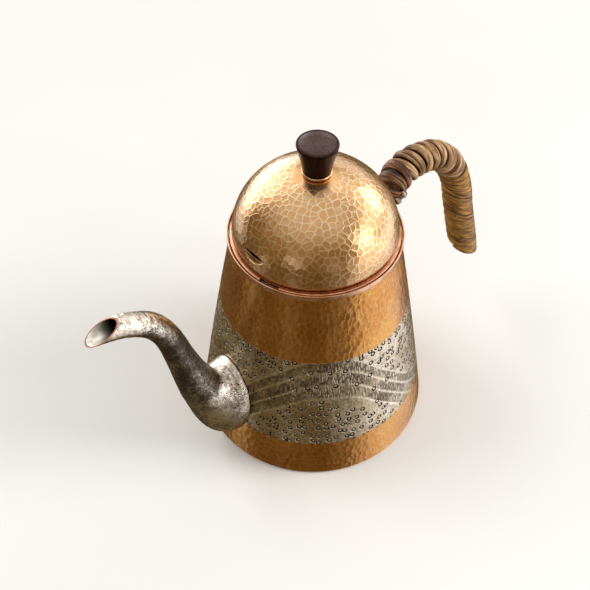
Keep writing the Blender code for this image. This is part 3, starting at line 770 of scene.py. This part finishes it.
def make_foot():
    """The turned-in lower edge of the body, and the hammered base pan inside it."""
    edge = wall(FOOT_TOP)
    within = edge - SHEET
    profile = rounded([(edge, FOOT_TOP), (edge - 0.0008, 0.0), (within, 0.0), (within, FOOT_TOP)], 0.0006)
    show("body_foot_edge", turned(profile, FINE_TURN), "kettle", "hammered_copper", ["body"])

    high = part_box("base_pan")[1]
    foot = wall(0.0010) - SHEET - GAP
    flange = high.y
    corners = [
        (0.0004, SHEET),
        (foot - 0.0030, SHEET),
        (foot - 0.0016, SHEET + 0.0008),
        (flange - 0.0010, high.z),
        (flange, high.z),
        (foot, 0.0010),
        (foot - 0.0010, 0.0),
        (0.0004, 0.0),
    ]
    grid = turned(refined(rounded(corners, 0.0008, closed=False), 0.0012), FINE_TURN)
    chance = random.Random(SEED + 1)
    blows = mark_rows([(0.0, 0.0), (foot, 0.0)], 0.0048, 0.0048, chance)
    sunk, ridge = hammered(grid, blows, 0.0048, 0.00012, chance)
    under = (grid[..., 2] < 0.0001) & (radius_of(grid) < foot - 0.0035)
    grid[..., 2] += np.where(under, sunk * 0.8, 0.0)
    settings = {"wrap_rows": False, "values": {"ridge": ridge * under}}
    show("base_pan_hammered", grid, "kettle", "hammered_copper", ["body"], ["base_pan"], **settings)


def make_rim():
    """The rolled rim, and the seat ring inside it with its notch for the lid's tab."""
    low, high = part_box("rim_ring")
    seat_low, seat_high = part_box("lid_seat_ring")
    inside = wall(wall_top) + GAP
    lip = seat_high.y + GAP
    middle = (lip + high.y) / 2
    corners = [
        (middle, high.z),
        (high.y, high.z),
        (high.y, low.z),
        (inside, low.z),
        (inside, wall_top),
        (lip, wall_top),
        (lip, high.z),
    ]
    grid = turned(rounded(corners, 0.0009, 6), 360)
    chance = random.Random(SEED + 2)
    drift = ripple(grid, (26, 9), chance)
    radius = radius_of(grid)
    share = (radius + 0.00004 * (drift - 1) * (radius > middle)) / radius
    grid[..., :2] *= share[..., None]
    show("rim_rolled", grid, "kettle", "bare_copper", ["rim"], ["rim_ring"])

    angle = circle(720)
    half = NOTCH_HALF_WIDTH / seat_high.y
    side = clamp((half - np.abs(turn_from(angle, NOTCH_AZIMUTH))) / 0.004)
    inner = SEAT_RADIUS + (NOTCH_RADIUS - SEAT_RADIUS) * side
    outer = seat_high.y - GAP + 0 * angle
    ease = 0.0003
    section = [
        (outer - ease, seat_low.z),
        (inner + ease, seat_low.z),
        (inner, seat_low.z + ease),
        (inner, seat_high.z - ease),
        (inner + ease, seat_high.z),
        (outer - ease, seat_high.z),
        (outer, seat_high.z - ease),
        (outer, seat_low.z + ease),
    ]
    rows = [around_axis(radius, angle, height) for radius, height in section]
    node = ["lid_seat_ring"]
    # The seat ring's outer wall, in the gap to the rim, takes the dark strap finish as a painted shadow line.
    show("lid_seat", np.array(rows), "kettle", "bare_copper", ["seat", "strap"], node, inner_from=5)


# ---- The spout ----


def foot_oval(columns, less):
    """The oval where the spout meets the wall, a gap off it."""
    height, half_width, half_height = SPOUT_FOOT
    angle = circle(columns)
    y = (half_width - less) * np.cos(angle)
    z = height + (half_height - less) * np.sin(angle)
    radius = wall(z) + GAP
    return np.stack([-np.sqrt(radius**2 - y**2), y, z], axis=1)


def spout_rings(line, columns, bulb_rows, neck_rows, less):
    """Rings from the oval on the wall, through the bulb and the neck, to the slanted mouth."""
    foot = foot_oval(columns, less)
    share = np.linspace(0, 1, neck_rows)
    neck = line.rings(share, columns, less, MOUTH_SLANT * clamp((share - 0.75) / 0.25))
    tangent = line.at(0.0)[2][0]
    lean = math.atan2(wall(0.0) - wall(wall_top), wall_top)
    outward = np.array([-math.cos(lean), 0.0, math.sin(lean)])
    leave, arrive = BULB_FULLNESS
    chord = np.linalg.norm(neck[0] - foot, axis=1, keepdims=True)
    bulb = []
    for t in np.linspace(0, 1, bulb_rows, endpoint=False)[1:]:
        bulb.append(
            foot * (2 * t**3 - 3 * t**2 + 1)
            + outward * chord * leave * (t**3 - 2 * t**2 + t)
            + neck[0] * (3 * t**2 - 2 * t**3)
            + tangent * chord * arrive * (t**3 - t**2)
        )
    return np.concatenate([foot[None], bulb, neck])


def make_spout():
    line = MiddleLine(SPOUT_LINE, -1)
    columns = 150
    outer = spout_rings(line, columns, 90, 240, 0.0)
    inner = spout_rings(line, columns, 24, 60, SPOUT_SHEET)[::-1]
    chance = random.Random(SEED + 3)
    picks = outer[::6, ::7].reshape(-1, 3)
    marks = np.array([point for point in picks if chance.random() < 0.55])
    marks += np.array([[chance.uniform(-1, 1) * MM for _ in range(3)] for _ in marks])
    sunk, ridge = hammered(outer, marks, 0.0030, 0.00009, chance, line=0.00028)
    rows = len(outer)
    from_foot = clamp(np.arange(rows) / 5)
    from_mouth = clamp((rows - 1 - np.arange(rows)) / 6)
    ease = np.minimum(from_foot, from_mouth)[:, None]
    normal = grid_normals(outer)
    away = outer - outer.mean(axis=1, keepdims=True)
    normal = normal * np.sign(np.einsum("ijk,ijk->ij", normal, away).mean())
    outer = outer - normal * (sunk * ease)[..., None]
    # The mouth is filed thin from inside, and its narrow edge shows bare copper.
    thin = clamp(np.arange(len(inner)) / 5)[:, None, None]
    inner = inner * thin + (inner + 0.55 * (outer[-1] - inner[0])[None]) * (1 - thin)
    lip = outer[-1] * 0.5 + inner[0] * 0.5
    bare = np.zeros(outer.shape[:2])
    bare[-3:] = np.array([0.3, 0.8, 1.0])[:, None]
    grid = np.concatenate([outer, lip[None], inner])
    # Painted light: the top of the bend and the upper side of the bulb's shoulder are marked to be painted
    # bright, and the neck and its underside to be painted dark, standing in for the reflections there.
    step = np.arange(rows) / rows
    side, over = np.cos(circle(columns)), np.sin(circle(columns))
    bend = clamp((step - 0.66) / 0.16)[:, None] * clamp(0.75 + over)
    bulb = clamp((0.30 - step) / 0.12)[:, None] * clamp(0.55 - 0.6 * side + 0.5 * over)
    values = {"ridge": ridge * ease, "bare": bare, "painted_light": clamp(bend + bulb)}
    values = padded(values, len(grid) - rows)
    values["bare"][rows] = 1.0
    # Painted shade on the spout's lining, deeper inwards from the mouth.
    depth = np.clip(grid[rows + 1 :, :, 0] + INNER_SHADE_START, 0, INNER_SHADE_REACH) / INNER_SHADE_REACH
    values["inner_shade"] = np.concatenate([np.zeros((rows + 1, columns)), depth])
    settings = {"inner_from": rows + 1, "values": values}
    show("spout_hammered", grid, "kettle", "tinned_copper", ["spout", "lining"], ["spout"], **settings)


# ---- The lid ----


def dome_outline(inset, hole, steps):
    """The dome from its hole outwards and down: a half ellipse over a short skirt."""
    low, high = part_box("lid_dome")
    skirt = low.z + DOME_SKIRT
    radius, rise = high.y - inset, lid_top - inset - skirt
    start = math.asin(hole / radius)
    angle = start + (math.pi / 2 - start) * np.asarray(steps)
    return np.stack([radius * np.sin(angle), skirt + rise * np.cos(angle)], axis=1)


def pressed_in(grid, outline):
    """How deep the vent's flap is pressed in, and the line of its lower edge."""
    reached = distance_along(outline)
    down = reached - np.interp(-VENT_HEIGHT, -outline[:, 1], reached)
    azimuth = azimuth_of(grid)
    radius = radius_of(grid)
    across = turn_from(azimuth, VENT_AZIMUTH) * radius / VENT_HALF_LENGTH
    drop = VENT_DROP * np.sqrt(np.clip(1 - across**2, 0.0001, 1))
    part = down[:, None] / drop
    inside = (np.abs(across) < 1) & (part > -0.05) & (part < 1)
    sunk = VENT_STEP + VENT_PRESS * np.sqrt(clamp(1 - across**2)) * clamp(1 - part)
    edge = (np.abs(across) < 1) * np.exp(-(((part - 1.0) * drop / 0.00035) ** 2))
    return np.where(inside, sunk, 0.0) * (1 - edge) - VENT_LIP * edge, edge


def vent_cutter():
    """A lens-shaped prism that cuts the vent's slit through the lid."""
    outline = dome_outline(0.0, 0.002, np.linspace(0, 1, 200))
    radius = np.interp(-VENT_HEIGHT, -outline[:, 1], outline[:, 0])
    step = np.interp(-VENT_HEIGHT + 0.0005, -outline[:, 1], outline[:, 0]) - radius
    lean = math.atan2(step, 0.0005)
    turn = Matrix.Rotation(VENT_AZIMUTH, 4, "Z") @ Matrix.Rotation(math.pi / 2 - lean, 4, "Y")
    spot = Vector((radius * math.cos(VENT_AZIMUTH), radius * math.sin(VENT_AZIMUTH), VENT_HEIGHT))
    frame_here = Matrix.Translation(spot) @ turn
    rings = []
    for depth in (-0.0040, 0.0030):
        for i in range(48):
            angle = 2 * math.pi * i / 48
            upright = VENT_HALF_WIDTH * math.sin(angle)
            spot = Vector((upright, VENT_HALF_LENGTH * 0.99 * math.cos(angle), depth))
            rings.append(tuple(frame_here @ spot))
    return grid_mesh("vent_cutter", np.array(rings).reshape(2, 48, 3), wrap_rows=False)


def make_lid():
    low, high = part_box("lid_dome")
    hole = 0.0018
    outside = dome_outline(0.0, hole, np.linspace(0, 1, 150))
    near_vent = np.concatenate([np.linspace(0, 0.74, 10), np.linspace(0.75, 0.97, 13), [1.0]])
    inside = dome_outline(LID_SHEET, hole, near_vent)[::-1]
    chance = random.Random(SEED + 4)
    blows = mark_rows(outside, 0.0029, 0.0030, chance, jitter=0.42, missed=0.07)
    outer = turned(outside, LID_COLUMNS)
    sunk, ridge = hammered(outer, blows, 0.0031, 0.000042, chance, line=0.00027)
    reach = radius_of(outer)
    ease = clamp((reach - 0.0085) / 0.0025) * clamp((outer[..., 2] - low.z - 0.0010) / 0.0025)
    press, vent_edge_highlight = pressed_in(outer, outside)
    ease = ease * (1 - clamp(press / 0.0003))
    outer = outer - outward_dome(outer, low.z) * (sunk * ease + press)[..., None]
    inner = turned(inside, LID_COLUMNS)
    inner_press = pressed_in(inner[::-1], inside[::-1])[0][::-1]
    inner = inner - outward_dome(inner, low.z) * inner_press[..., None]
    within, skirt = high.y - LID_SHEET, low.z + DOME_SKIRT
    edge = [(high.y, skirt), (high.y, low.z), (within, low.z), (within, skirt)]
    edge = rounded(edge, 0.0003, closed=False)[1:-1]
    grid = np.concatenate([outer, turned(edge, LID_COLUMNS), inner])
    # The vent's lower edge joins the ridges as a painted highlight, and its pressed-in flap is marked for
    # painted shade.
    values = {"ridge": np.maximum(ridge * ease, vent_edge_highlight), "shade": clamp(press / VENT_STEP)}
    settings = {"inner_from": len(outer) + len(edge) - 1, "values": padded(values, len(grid) - len(outer))}
    lid = show("lid_hammered", grid, "lid", "lid_copper", ["lid", "lining"], ["lid_dome"], **settings)
    carve(lid, added("vent_cutter", vent_cutter()))


def outward_dome(grid, base):
    """Unit directions out of the lid's surface."""
    centre = np.array([0, 0, base])
    radius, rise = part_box("lid_dome")[1].y, lid_top - base
    return unit((grid - centre) / np.array([radius**2, radius**2, rise**2]))


def carve(piece, cutter):
    """Cuts the cutter out of the piece for good, and removes the cutter."""
    modifier = piece.modifiers.new("carve", "BOOLEAN")
    modifier.operation = "DIFFERENCE"
    modifier.solver = "EXACT"
    modifier.object = cutter
    graph = bpy.context.evaluated_depsgraph_get()
    carved = bpy.data.meshes.new_from_object(piece.evaluated_get(graph), depsgraph=graph)
    old = piece.data
    piece.modifiers.clear()
    piece.data = carved
    carved.name = old.name
    bpy.data.meshes.remove(old)
    bpy.data.objects.remove(cutter)


def make_collar():
    """The lid's collar, which drops inside the seat ring."""
    low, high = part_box("lid_collar")
    within = COLLAR_RADIUS - SHEET
    flange_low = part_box("lid_dome")[0].z + 0.0010
    corners = [
        (high.y, high.z),
        (high.y, flange_low),
        (COLLAR_RADIUS, flange_low),
        (COLLAR_RADIUS, low.z),
        (within, low.z),
        (within, high.z),
    ]
    grid = turned(refined(rounded(corners, 0.0004), 0.0012), 240)
    show("lid_collar_turned", grid, "lid", "bare_copper", ["seat"], ["lid_collar"])


# ---- The knob and the fittings ----


def make_knob():
    low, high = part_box("knob")
    foot, head = 0.0064, high.y
    crown = high.z - 0.0016
    profile = [(0.0002, high.z)]
    for part in np.linspace(0.1, 1, 12):
        profile.append((part * (head - 0.0006), crown + 0.0016 * (1 - part**2.2)))
    profile += [(head - 0.0003, crown + 0.0003), (head, crown - 0.0002), (head, crown - 0.0006)]
    for part in np.linspace(0, 1, 26)[1:]:
        radius = foot + (head - foot) * (1 - part) ** 1.2
        profile.append((radius, crown - 0.0006 - (crown - 0.0006 - low.z) * part))
    hollow = low.z + 0.0068
    profile += [(foot - 0.0004, low.z), (KNOB_BORE, low.z), (KNOB_BORE, hollow), (0.0002, hollow)]
    grid = turned(refined(rounded(profile, 0.00025, 2, closed=False), 0.0008), SMALL_TURN)
    # Marks the crown, which is waxed and painted lighter as a painted sheen.
    on_top = clamp((grid[..., 2] - crown) / 0.0004)
    settings = {"wrap_rows": False, "values": {"crown": on_top}}
    show("knob_turned", grid, "lid", "rosewood", ["wood"], ["knob"], **settings)


def make_knob_rings():
    """The ferrule under the knob, and the washer inside the lid."""
    rings = (
        ("knob_ferrule_turned", "lid", "knob_ferrule", 0.00045, 5),
        ("knob_washer_turned", "lid_spindle", "knob_inner_washer", 0.0002, 3),
    )
    for name, body, node, easing, steps in rings:
        low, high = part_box(node)
        corners = [(high.y, high.z), (high.y, low.z), (KNOB_BORE, low.z), (KNOB_BORE, high.z)]
        grid = turned(rounded(corners, easing, steps), SMALL_TURN)
        show(name, grid, body, "brass_fittings", ["fittings"], [node])


def carried_over():
    """CAD nodes whose own shape is shown, with their finish."""
    finishes = {
        "fittings": ("knob_screw", "handle_rivet_left", "handle_rivet_right", "handle_rivet_lower"),
        "seat": ("lid_lock_tab",),
        "strap": ("handle_core", "handle_end_plug", "handle_bracket"),
    }
    for finish, nodes in finishes.items():
        for node in nodes:
            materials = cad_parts[node].data.materials
            materials.clear()
            materials.append(looks[finish])


# ---- The vine ----


def winding_slant(share):
    """The grip's turns all lean as its free end does."""
    return END_SLANT * clamp((share - 0.365) / 0.105)


def cane(path, outward, width, height, chance, rough, seed, power=0.74, columns=20):
    """A flattened length of vine swept along a path: its rings of points, and its lay in mm."""
    travelled = distance_along(path)
    along = unit(np.gradient(path, axis=0))
    side = unit(np.cross(along, outward))
    out = np.cross(side, along)
    across, upward = np.cos(circle(columns)), np.sin(circle(columns))
    across = np.sign(across) * np.abs(across) ** power
    upward = np.sign(upward) * np.abs(upward) ** power
    fibre = np.zeros((len(path), columns))
    for furrows, weight in ((1.7, 0.45), (3.4, 0.35), (5.6, 0.20)):
        drift = chance.uniform(0, 6) + 0.9 * np.sin(travelled / 0.008 + chance.uniform(0, 6))
        fibre += weight * np.cos(furrows * math.pi * across[None] + drift[:, None])
    groove = 0.00016 * rough * (fibre - 1) * clamp(upward)
    sway = 1 + 0.07 * rough * np.sin(travelled / 0.0043 + seed) * np.sin(travelled / 0.0110 + 2 * seed)
    wide = width * sway
    grid = path[:, None] + side[:, None] * (wide[:, None] / 2 * across)[..., None]
    grid = grid + out[:, None] * (height[:, None] / 2 * upward + groove)[..., None]
    flat = np.zeros((len(path), columns))
    lay = [travelled[:, None] / MM + flat, wide[:, None] / MM / 2 * across + flat, flat + seed * 7.7]
    lay = np.stack(lay, axis=-1)
    # Painted shade: marks each cane's underside and edges, where its neighbours shade it.
    crease_shade = clamp(1.05 - upward * 1.7) ** 1.5 + clamp(np.abs(across) - 0.84) * 3.5
    return grid, {"lay": lay, "crease_shade": clamp(crease_shade + flat)}


def wound_path(line, start, end, turns, phase, height, chance, rough):
    """A helix on the handle that fills the winding's section: points, outward ways, room."""
    per_turn = 64
    t = np.linspace(0, 1, turns * per_turn + 1)
    share = start + (end - start) * t
    angle = phase + 2 * math.pi * turns * t
    centre, normal, tangent, half_width, half_height = line.at(share)
    wobble = np.zeros(len(t))
    lift = np.zeros(len(t))
    for _ in range(5):
        wobble += np.sin(angle * chance.uniform(0.2, 1.7) + chance.uniform(0, 6)) * chance.uniform(0.4, 1)
        lift += np.sin(angle * chance.uniform(0.2, 1.7) + chance.uniform(0, 6)) * chance.uniform(0.4, 1)
    inset = height / 2 + 0.00008 * rough * np.clip(lift + 1.2, 0, None)
    wide, tall = np.cos(angle) * (half_width - inset), np.sin(angle) * (half_height - inset)
    sideways = np.array([0.0, 1.0, 0.0])
    out = sideways * (np.cos(angle) * half_height)[:, None] + normal * (np.sin(angle) * half_width)[:, None]
    out = unit(out)
    lean = tall * np.tan(winding_slant(share)) - wide * np.tan(BEND_SLANT) + 0.00009 * rough * wobble
    path = centre + sideways * wide[:, None] + normal * tall[:, None] + tangent * lean[:, None]
    apart = np.linalg.norm(path[per_turn:] - path[:-per_turn], axis=1)
    before = np.concatenate([apart[:per_turn], apart])
    after = np.concatenate([apart, apart[-per_turn:]])
    ends = clamp(np.minimum(t, 1 - t) * turns * 5.0) ** 0.5
    return path, out, (before + after) / 2, ends, share


def make_winding(name, node, rows, look, slot, start, end, turns, fill, height, rough, strands=1, power=0.74):
    """A helical winding of canes. fill is how much of its room it takes, at start and end."""
    line = MiddleLine(rows, 1)
    chance = random.Random(SEED + len(name))
    pitch = (end - start) / turns
    for strand in range(strands):
        shift = pitch * ((strand + 0.5) / strands - 0.5)
        path, out, room, ends, share = wound_path(
            line, start + shift, end + shift, turns, -math.pi / 2, height, chance, rough
        )
        filled = np.interp(share, (start, end), fill)
        width = np.clip(room * filled / strands, 0.0006, None) * (0.35 + 0.65 * ends)
        tall = height * (0.30 + 0.70 * ends)
        seed = len(name) + 3.3 * strand
        grid, values = cane(path, out, width, tall, chance, rough, seed, power)
        label = name if strands == 1 else f"{name}_{strand + 1}"
        stands_for = [node] if strand == 0 else ()
        show(label, grid, "kettle", slot, [look], stands_for, wrap_rows=False, values=values)


def make_root_knots():
    """Two small loops where the binding's end is tied off under the rim."""
    line = MiddleLine(ROOT_LINE, 1)
    chance = random.Random(SEED + 9)
    loop, thread, pitch = 0.0013, 0.0016, 0.0022
    for index, (share, angle) in enumerate(((0.26, 3.20), (0.50, 3.30))):
        centre, normal, tangent, half_width, half_height = (value[0] for value in line.at(share))
        out = np.array([0.0, math.cos(angle), 0.0]) + normal * math.sin(angle)
        spot = centre + out * (half_width - 0.0004)
        turn = np.linspace(0, 2.4 * 2 * math.pi, 110)
        ring = np.cos(turn)[:, None] * out + np.sin(turn)[:, None] * tangent
        climb = np.cross(out, tangent) * ((turn / turn[-1] - 0.5) * pitch)[:, None]
        path = spot + ring * loop + climb
        ends = np.clip(np.minimum(turn, turn[-1] - turn) / 0.8, 0.3, 1)
        grid, values = cane(path, ring, thread * ends, 0.0014 * ends, chance, 1.0, 1.0 + index, 0.9, 12)
        # Less painted shade on the knots.
        values["crease_shade"] *= 0.3
        name = f"vine_root_knot_{index + 1}"
        show(name, grid, "kettle", "vine_dark", ["knot"], wrap_rows=False, values=values)


def make_packing(name, rows, start, end, less, slant, slot):
    """Vine laid under a winding's canes, which closes the gaps between them and the winding's end."""
    line = MiddleLine(rows, 1)
    share = np.linspace(start, end, 26)
    rings = line.rings(share, 40, less, slant)
    around = circle(40) * line.at(share)[3][:, None] / MM
    along = (share * line.length / MM)[:, None] + 0 * around
    # The packing is painted with shade all over, as it lies under the canes.
    values = {"crease_shade": np.full(around.shape, 0.55), "lay": np.stack([around, along, 0 * around], axis=-1)}
    show(name, rings, "kettle", slot, ["root"], wrap_rows=False, values=values)


def make_vine():
    root = {"start": 0.02, "end": 0.905, "turns": 4, "fill": (0.92, 0.84), "height": 0.0036, "power": 0.90}
    bend = {"start": 0.060, "end": 0.410, "turns": 9, "fill": (0.78, 0.88), "height": 0.0042, "power": 0.92}
    grip = {"start": 0.412, "end": 0.989, "turns": 22, "fill": (0.98, 0.98), "height": 0.0022, "strands": 2}
    make_winding("vine_root", "vine_root_binding", ROOT_LINE, "root", "vine_dark", rough=1.5, **root)
    make_winding("vine_bend", "vine_bend_wrap", WRAP_LINE, "bend", "vine_dark", rough=1.2, **bend)
    make_winding("vine_grip", "vine_grip_wrap", WRAP_LINE, "grip", "vine_tan", rough=1.6, **grip)
    make_packing("vine_root_packing", ROOT_LINE, 0.05, 0.93, 0.0022, 0.0, "vine_dark")
    make_packing("vine_grip_packing", WRAP_LINE, 0.90, 0.985, 0.0013, END_SLANT, "vine_tan")
    make_root_knots()


# ---- The stage ----


def make_stage():
    """A plain pale floor. The metal's mirror image of it is left out, so the room shows there."""
    reach, drop = 3.0, 0.0001
    mesh = bpy.data.meshes.new("floor")
    ring = [(reach * math.cos(angle), reach * math.sin(angle), -drop) for angle in circle(64)]
    mesh.from_pydata(ring, [], [list(range(64))])
    floor = added("floor", mesh)
    floor.visible_glossy = False
    s = Shader("pale_floor", (226, 224, 220), Metallic=0.0, Specular_IOR_Level=0.1)
    s.paint(s.spread(s.noise(3.0, 3.0), 0.3, 0.7), (232, 230, 226))
    mesh.materials.append(s.finished(0.8))


WINDOWS = (
    # azimuth, elevation, half width, half height in degrees, brightness
    (88, 5, 26, 14, 2.8),
    (110, -17, 16, 9, 0.8),
    (28, 13, 22, 12, 0.90),
    (94, 29, 20, 9, 1.4),
    (50, 52, 50, 17, 0.65),
    (354, 18, 11, 13, 3.2),
    (328, 20, 16, 13, 1.3),
    (302, 14, 11, 13, 3.2),
    (322, -14, 42, 12, 1.5),
    (316, -41, 30, 15, 0.85),
    (206, 4, 9, 7, 0.7),
    (256, -2, 8, 8, 0.4),
    (258, -31, 5, 9, 0.20),
    (158, -35, 5, 14, 0.50),
    (205, -31, 3, 10, 0.25),
)


def make_room():
    """Soft light from all round, with brighter windows for the metal to mirror."""
    world = bpy.data.worlds.new("studio")
    bpy.context.scene.world = world
    world.use_nodes = True
    s = Nodes(world.node_tree)
    s.tree.nodes.clear()
    way = s.node("ShaderNodeTexCoord").outputs["Generated"]

    def towards(vector):
        inputs = {0: way, 1: vector}
        return s.node("ShaderNodeVectorMath", inputs, operation="DOT_PRODUCT").outputs["Value"]

    def glow(tint, strength):
        return s.node("ShaderNodeBackground", {"Color": tint, "Strength": strength}).outputs[0]

    def chosen(test, otherwise, chosen_one):
        return s.node("ShaderNodeMixShader", {0: test, 1: otherwise, 2: chosen_one}).outputs[0]

    height = towards((0, 0, 1))
    warm = s.times(s.spread(height, -0.20, 0.35, 0.15, 0.26), s.spread(height, 0.35, 0.95, 1.0, 0.5))
    bright = s.spread(height, 0.30, 0.97, 0.0, 0.68)
    for azimuth, elevation, half_width, half_height, brightness in WINDOWS:
        turn, tilt = math.radians(azimuth), math.radians(elevation)
        facing = Vector((math.cos(turn) * math.cos(tilt), math.sin(turn) * math.cos(tilt), math.sin(tilt)))
        right = Vector((-math.sin(turn), math.cos(turn), 0))
        up = facing.cross(right)
        front = towards(facing)
        patch = s.spread(front, 0.0, 0.2)
        for direction, half in ((right, half_width), (up, half_height)):
            aside = s.maths("DIVIDE", towards(direction), s.maths("MAXIMUM", front, 0.05))
            edge = math.tan(math.radians(half))
            inside = s.spread(s.maths("ABSOLUTE", aside), edge * 0.6, edge * 1.4, 1.0, 0.0)
            patch = s.times(patch, inside)
        bright = s.plus(bright, s.times(patch, brightness))

    walls, windows = glow((1.0, 0.70, 0.34, 1), warm), glow((1.0, 1.02, 1.16, 1), bright)
    room = s.node("ShaderNodeAddShader", {0: walls, 1: windows}).outputs[0]
    soft = glow((1.0, 0.98, 0.96, 1), s.spread(height, -0.3, 0.9, 0.30, 0.70))
    ray = s.node("ShaderNodeLightPath").outputs
    lit = chosen(ray["Is Diffuse Ray"], room, soft)
    lit = chosen(ray["Is Camera Ray"], lit, glow((222, 220, 216), 1.0))
    s.node("ShaderNodeOutputWorld", {"Surface": lit})
    world.cycles.sampling_method = "NONE"


def make_lamp(name, place, aim, size, power):
    """A soft lamp for the floor, the wood and the vine, which the metal doesn't mirror."""
    data = bpy.data.lights.new(name, "AREA")
    data.shape = "DISK"
    data.size = size
    data.energy = power
    lamp = added(name, data)
    lamp.location = place
    lamp.rotation_euler = (Vector(aim) - Vector(place)).to_track_quat("-Z", "Y").to_euler()
    lamp.visible_glossy = False


CAMERA_PLACE = (-0.18473, -0.22944, 0.41408)
CAMERA_TURNS = (40.71999, -0.03913, -36.95452)
CAMERA_LENS = 54.91525


def make_camera():
    """The camera, about 49 degrees up on the spout's side: its place, turns and focal length in mm."""
    data = bpy.data.cameras.new("camera")
    data.sensor_width = 36.0
    data.lens = CAMERA_LENS
    data.clip_start = 0.01
    camera = added("camera", data)
    camera.location = CAMERA_PLACE
    camera.rotation_euler = [math.radians(turn) for turn in CAMERA_TURNS]
    bpy.context.scene.camera = camera


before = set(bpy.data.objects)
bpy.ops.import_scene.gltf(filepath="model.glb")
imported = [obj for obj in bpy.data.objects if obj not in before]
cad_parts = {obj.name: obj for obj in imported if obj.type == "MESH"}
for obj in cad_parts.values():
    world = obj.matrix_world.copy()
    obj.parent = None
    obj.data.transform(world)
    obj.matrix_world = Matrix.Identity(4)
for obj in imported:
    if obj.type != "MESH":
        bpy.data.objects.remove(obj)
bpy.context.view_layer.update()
wall = wall_line()
wall_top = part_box("body_wall")[1].z
lid_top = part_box("knob_ferrule")[0].z - GAP
looks = make_materials()

make_wall()
make_foot()
make_rim()
make_spout()
make_lid()
make_collar()
make_knob()
make_knob_rings()
make_vine()
carried_over()

make_stage()
make_room()
make_lamp("key", (-0.55, 0.75, 1.10), (0, 0, 0.05), 0.9, 9)
make_lamp("fill", (0.85, -0.70, 0.75), (0, 0, 0.05), 0.7, 12)
make_camera()
bpy.context.scene.view_settings.view_transform = "Standard"
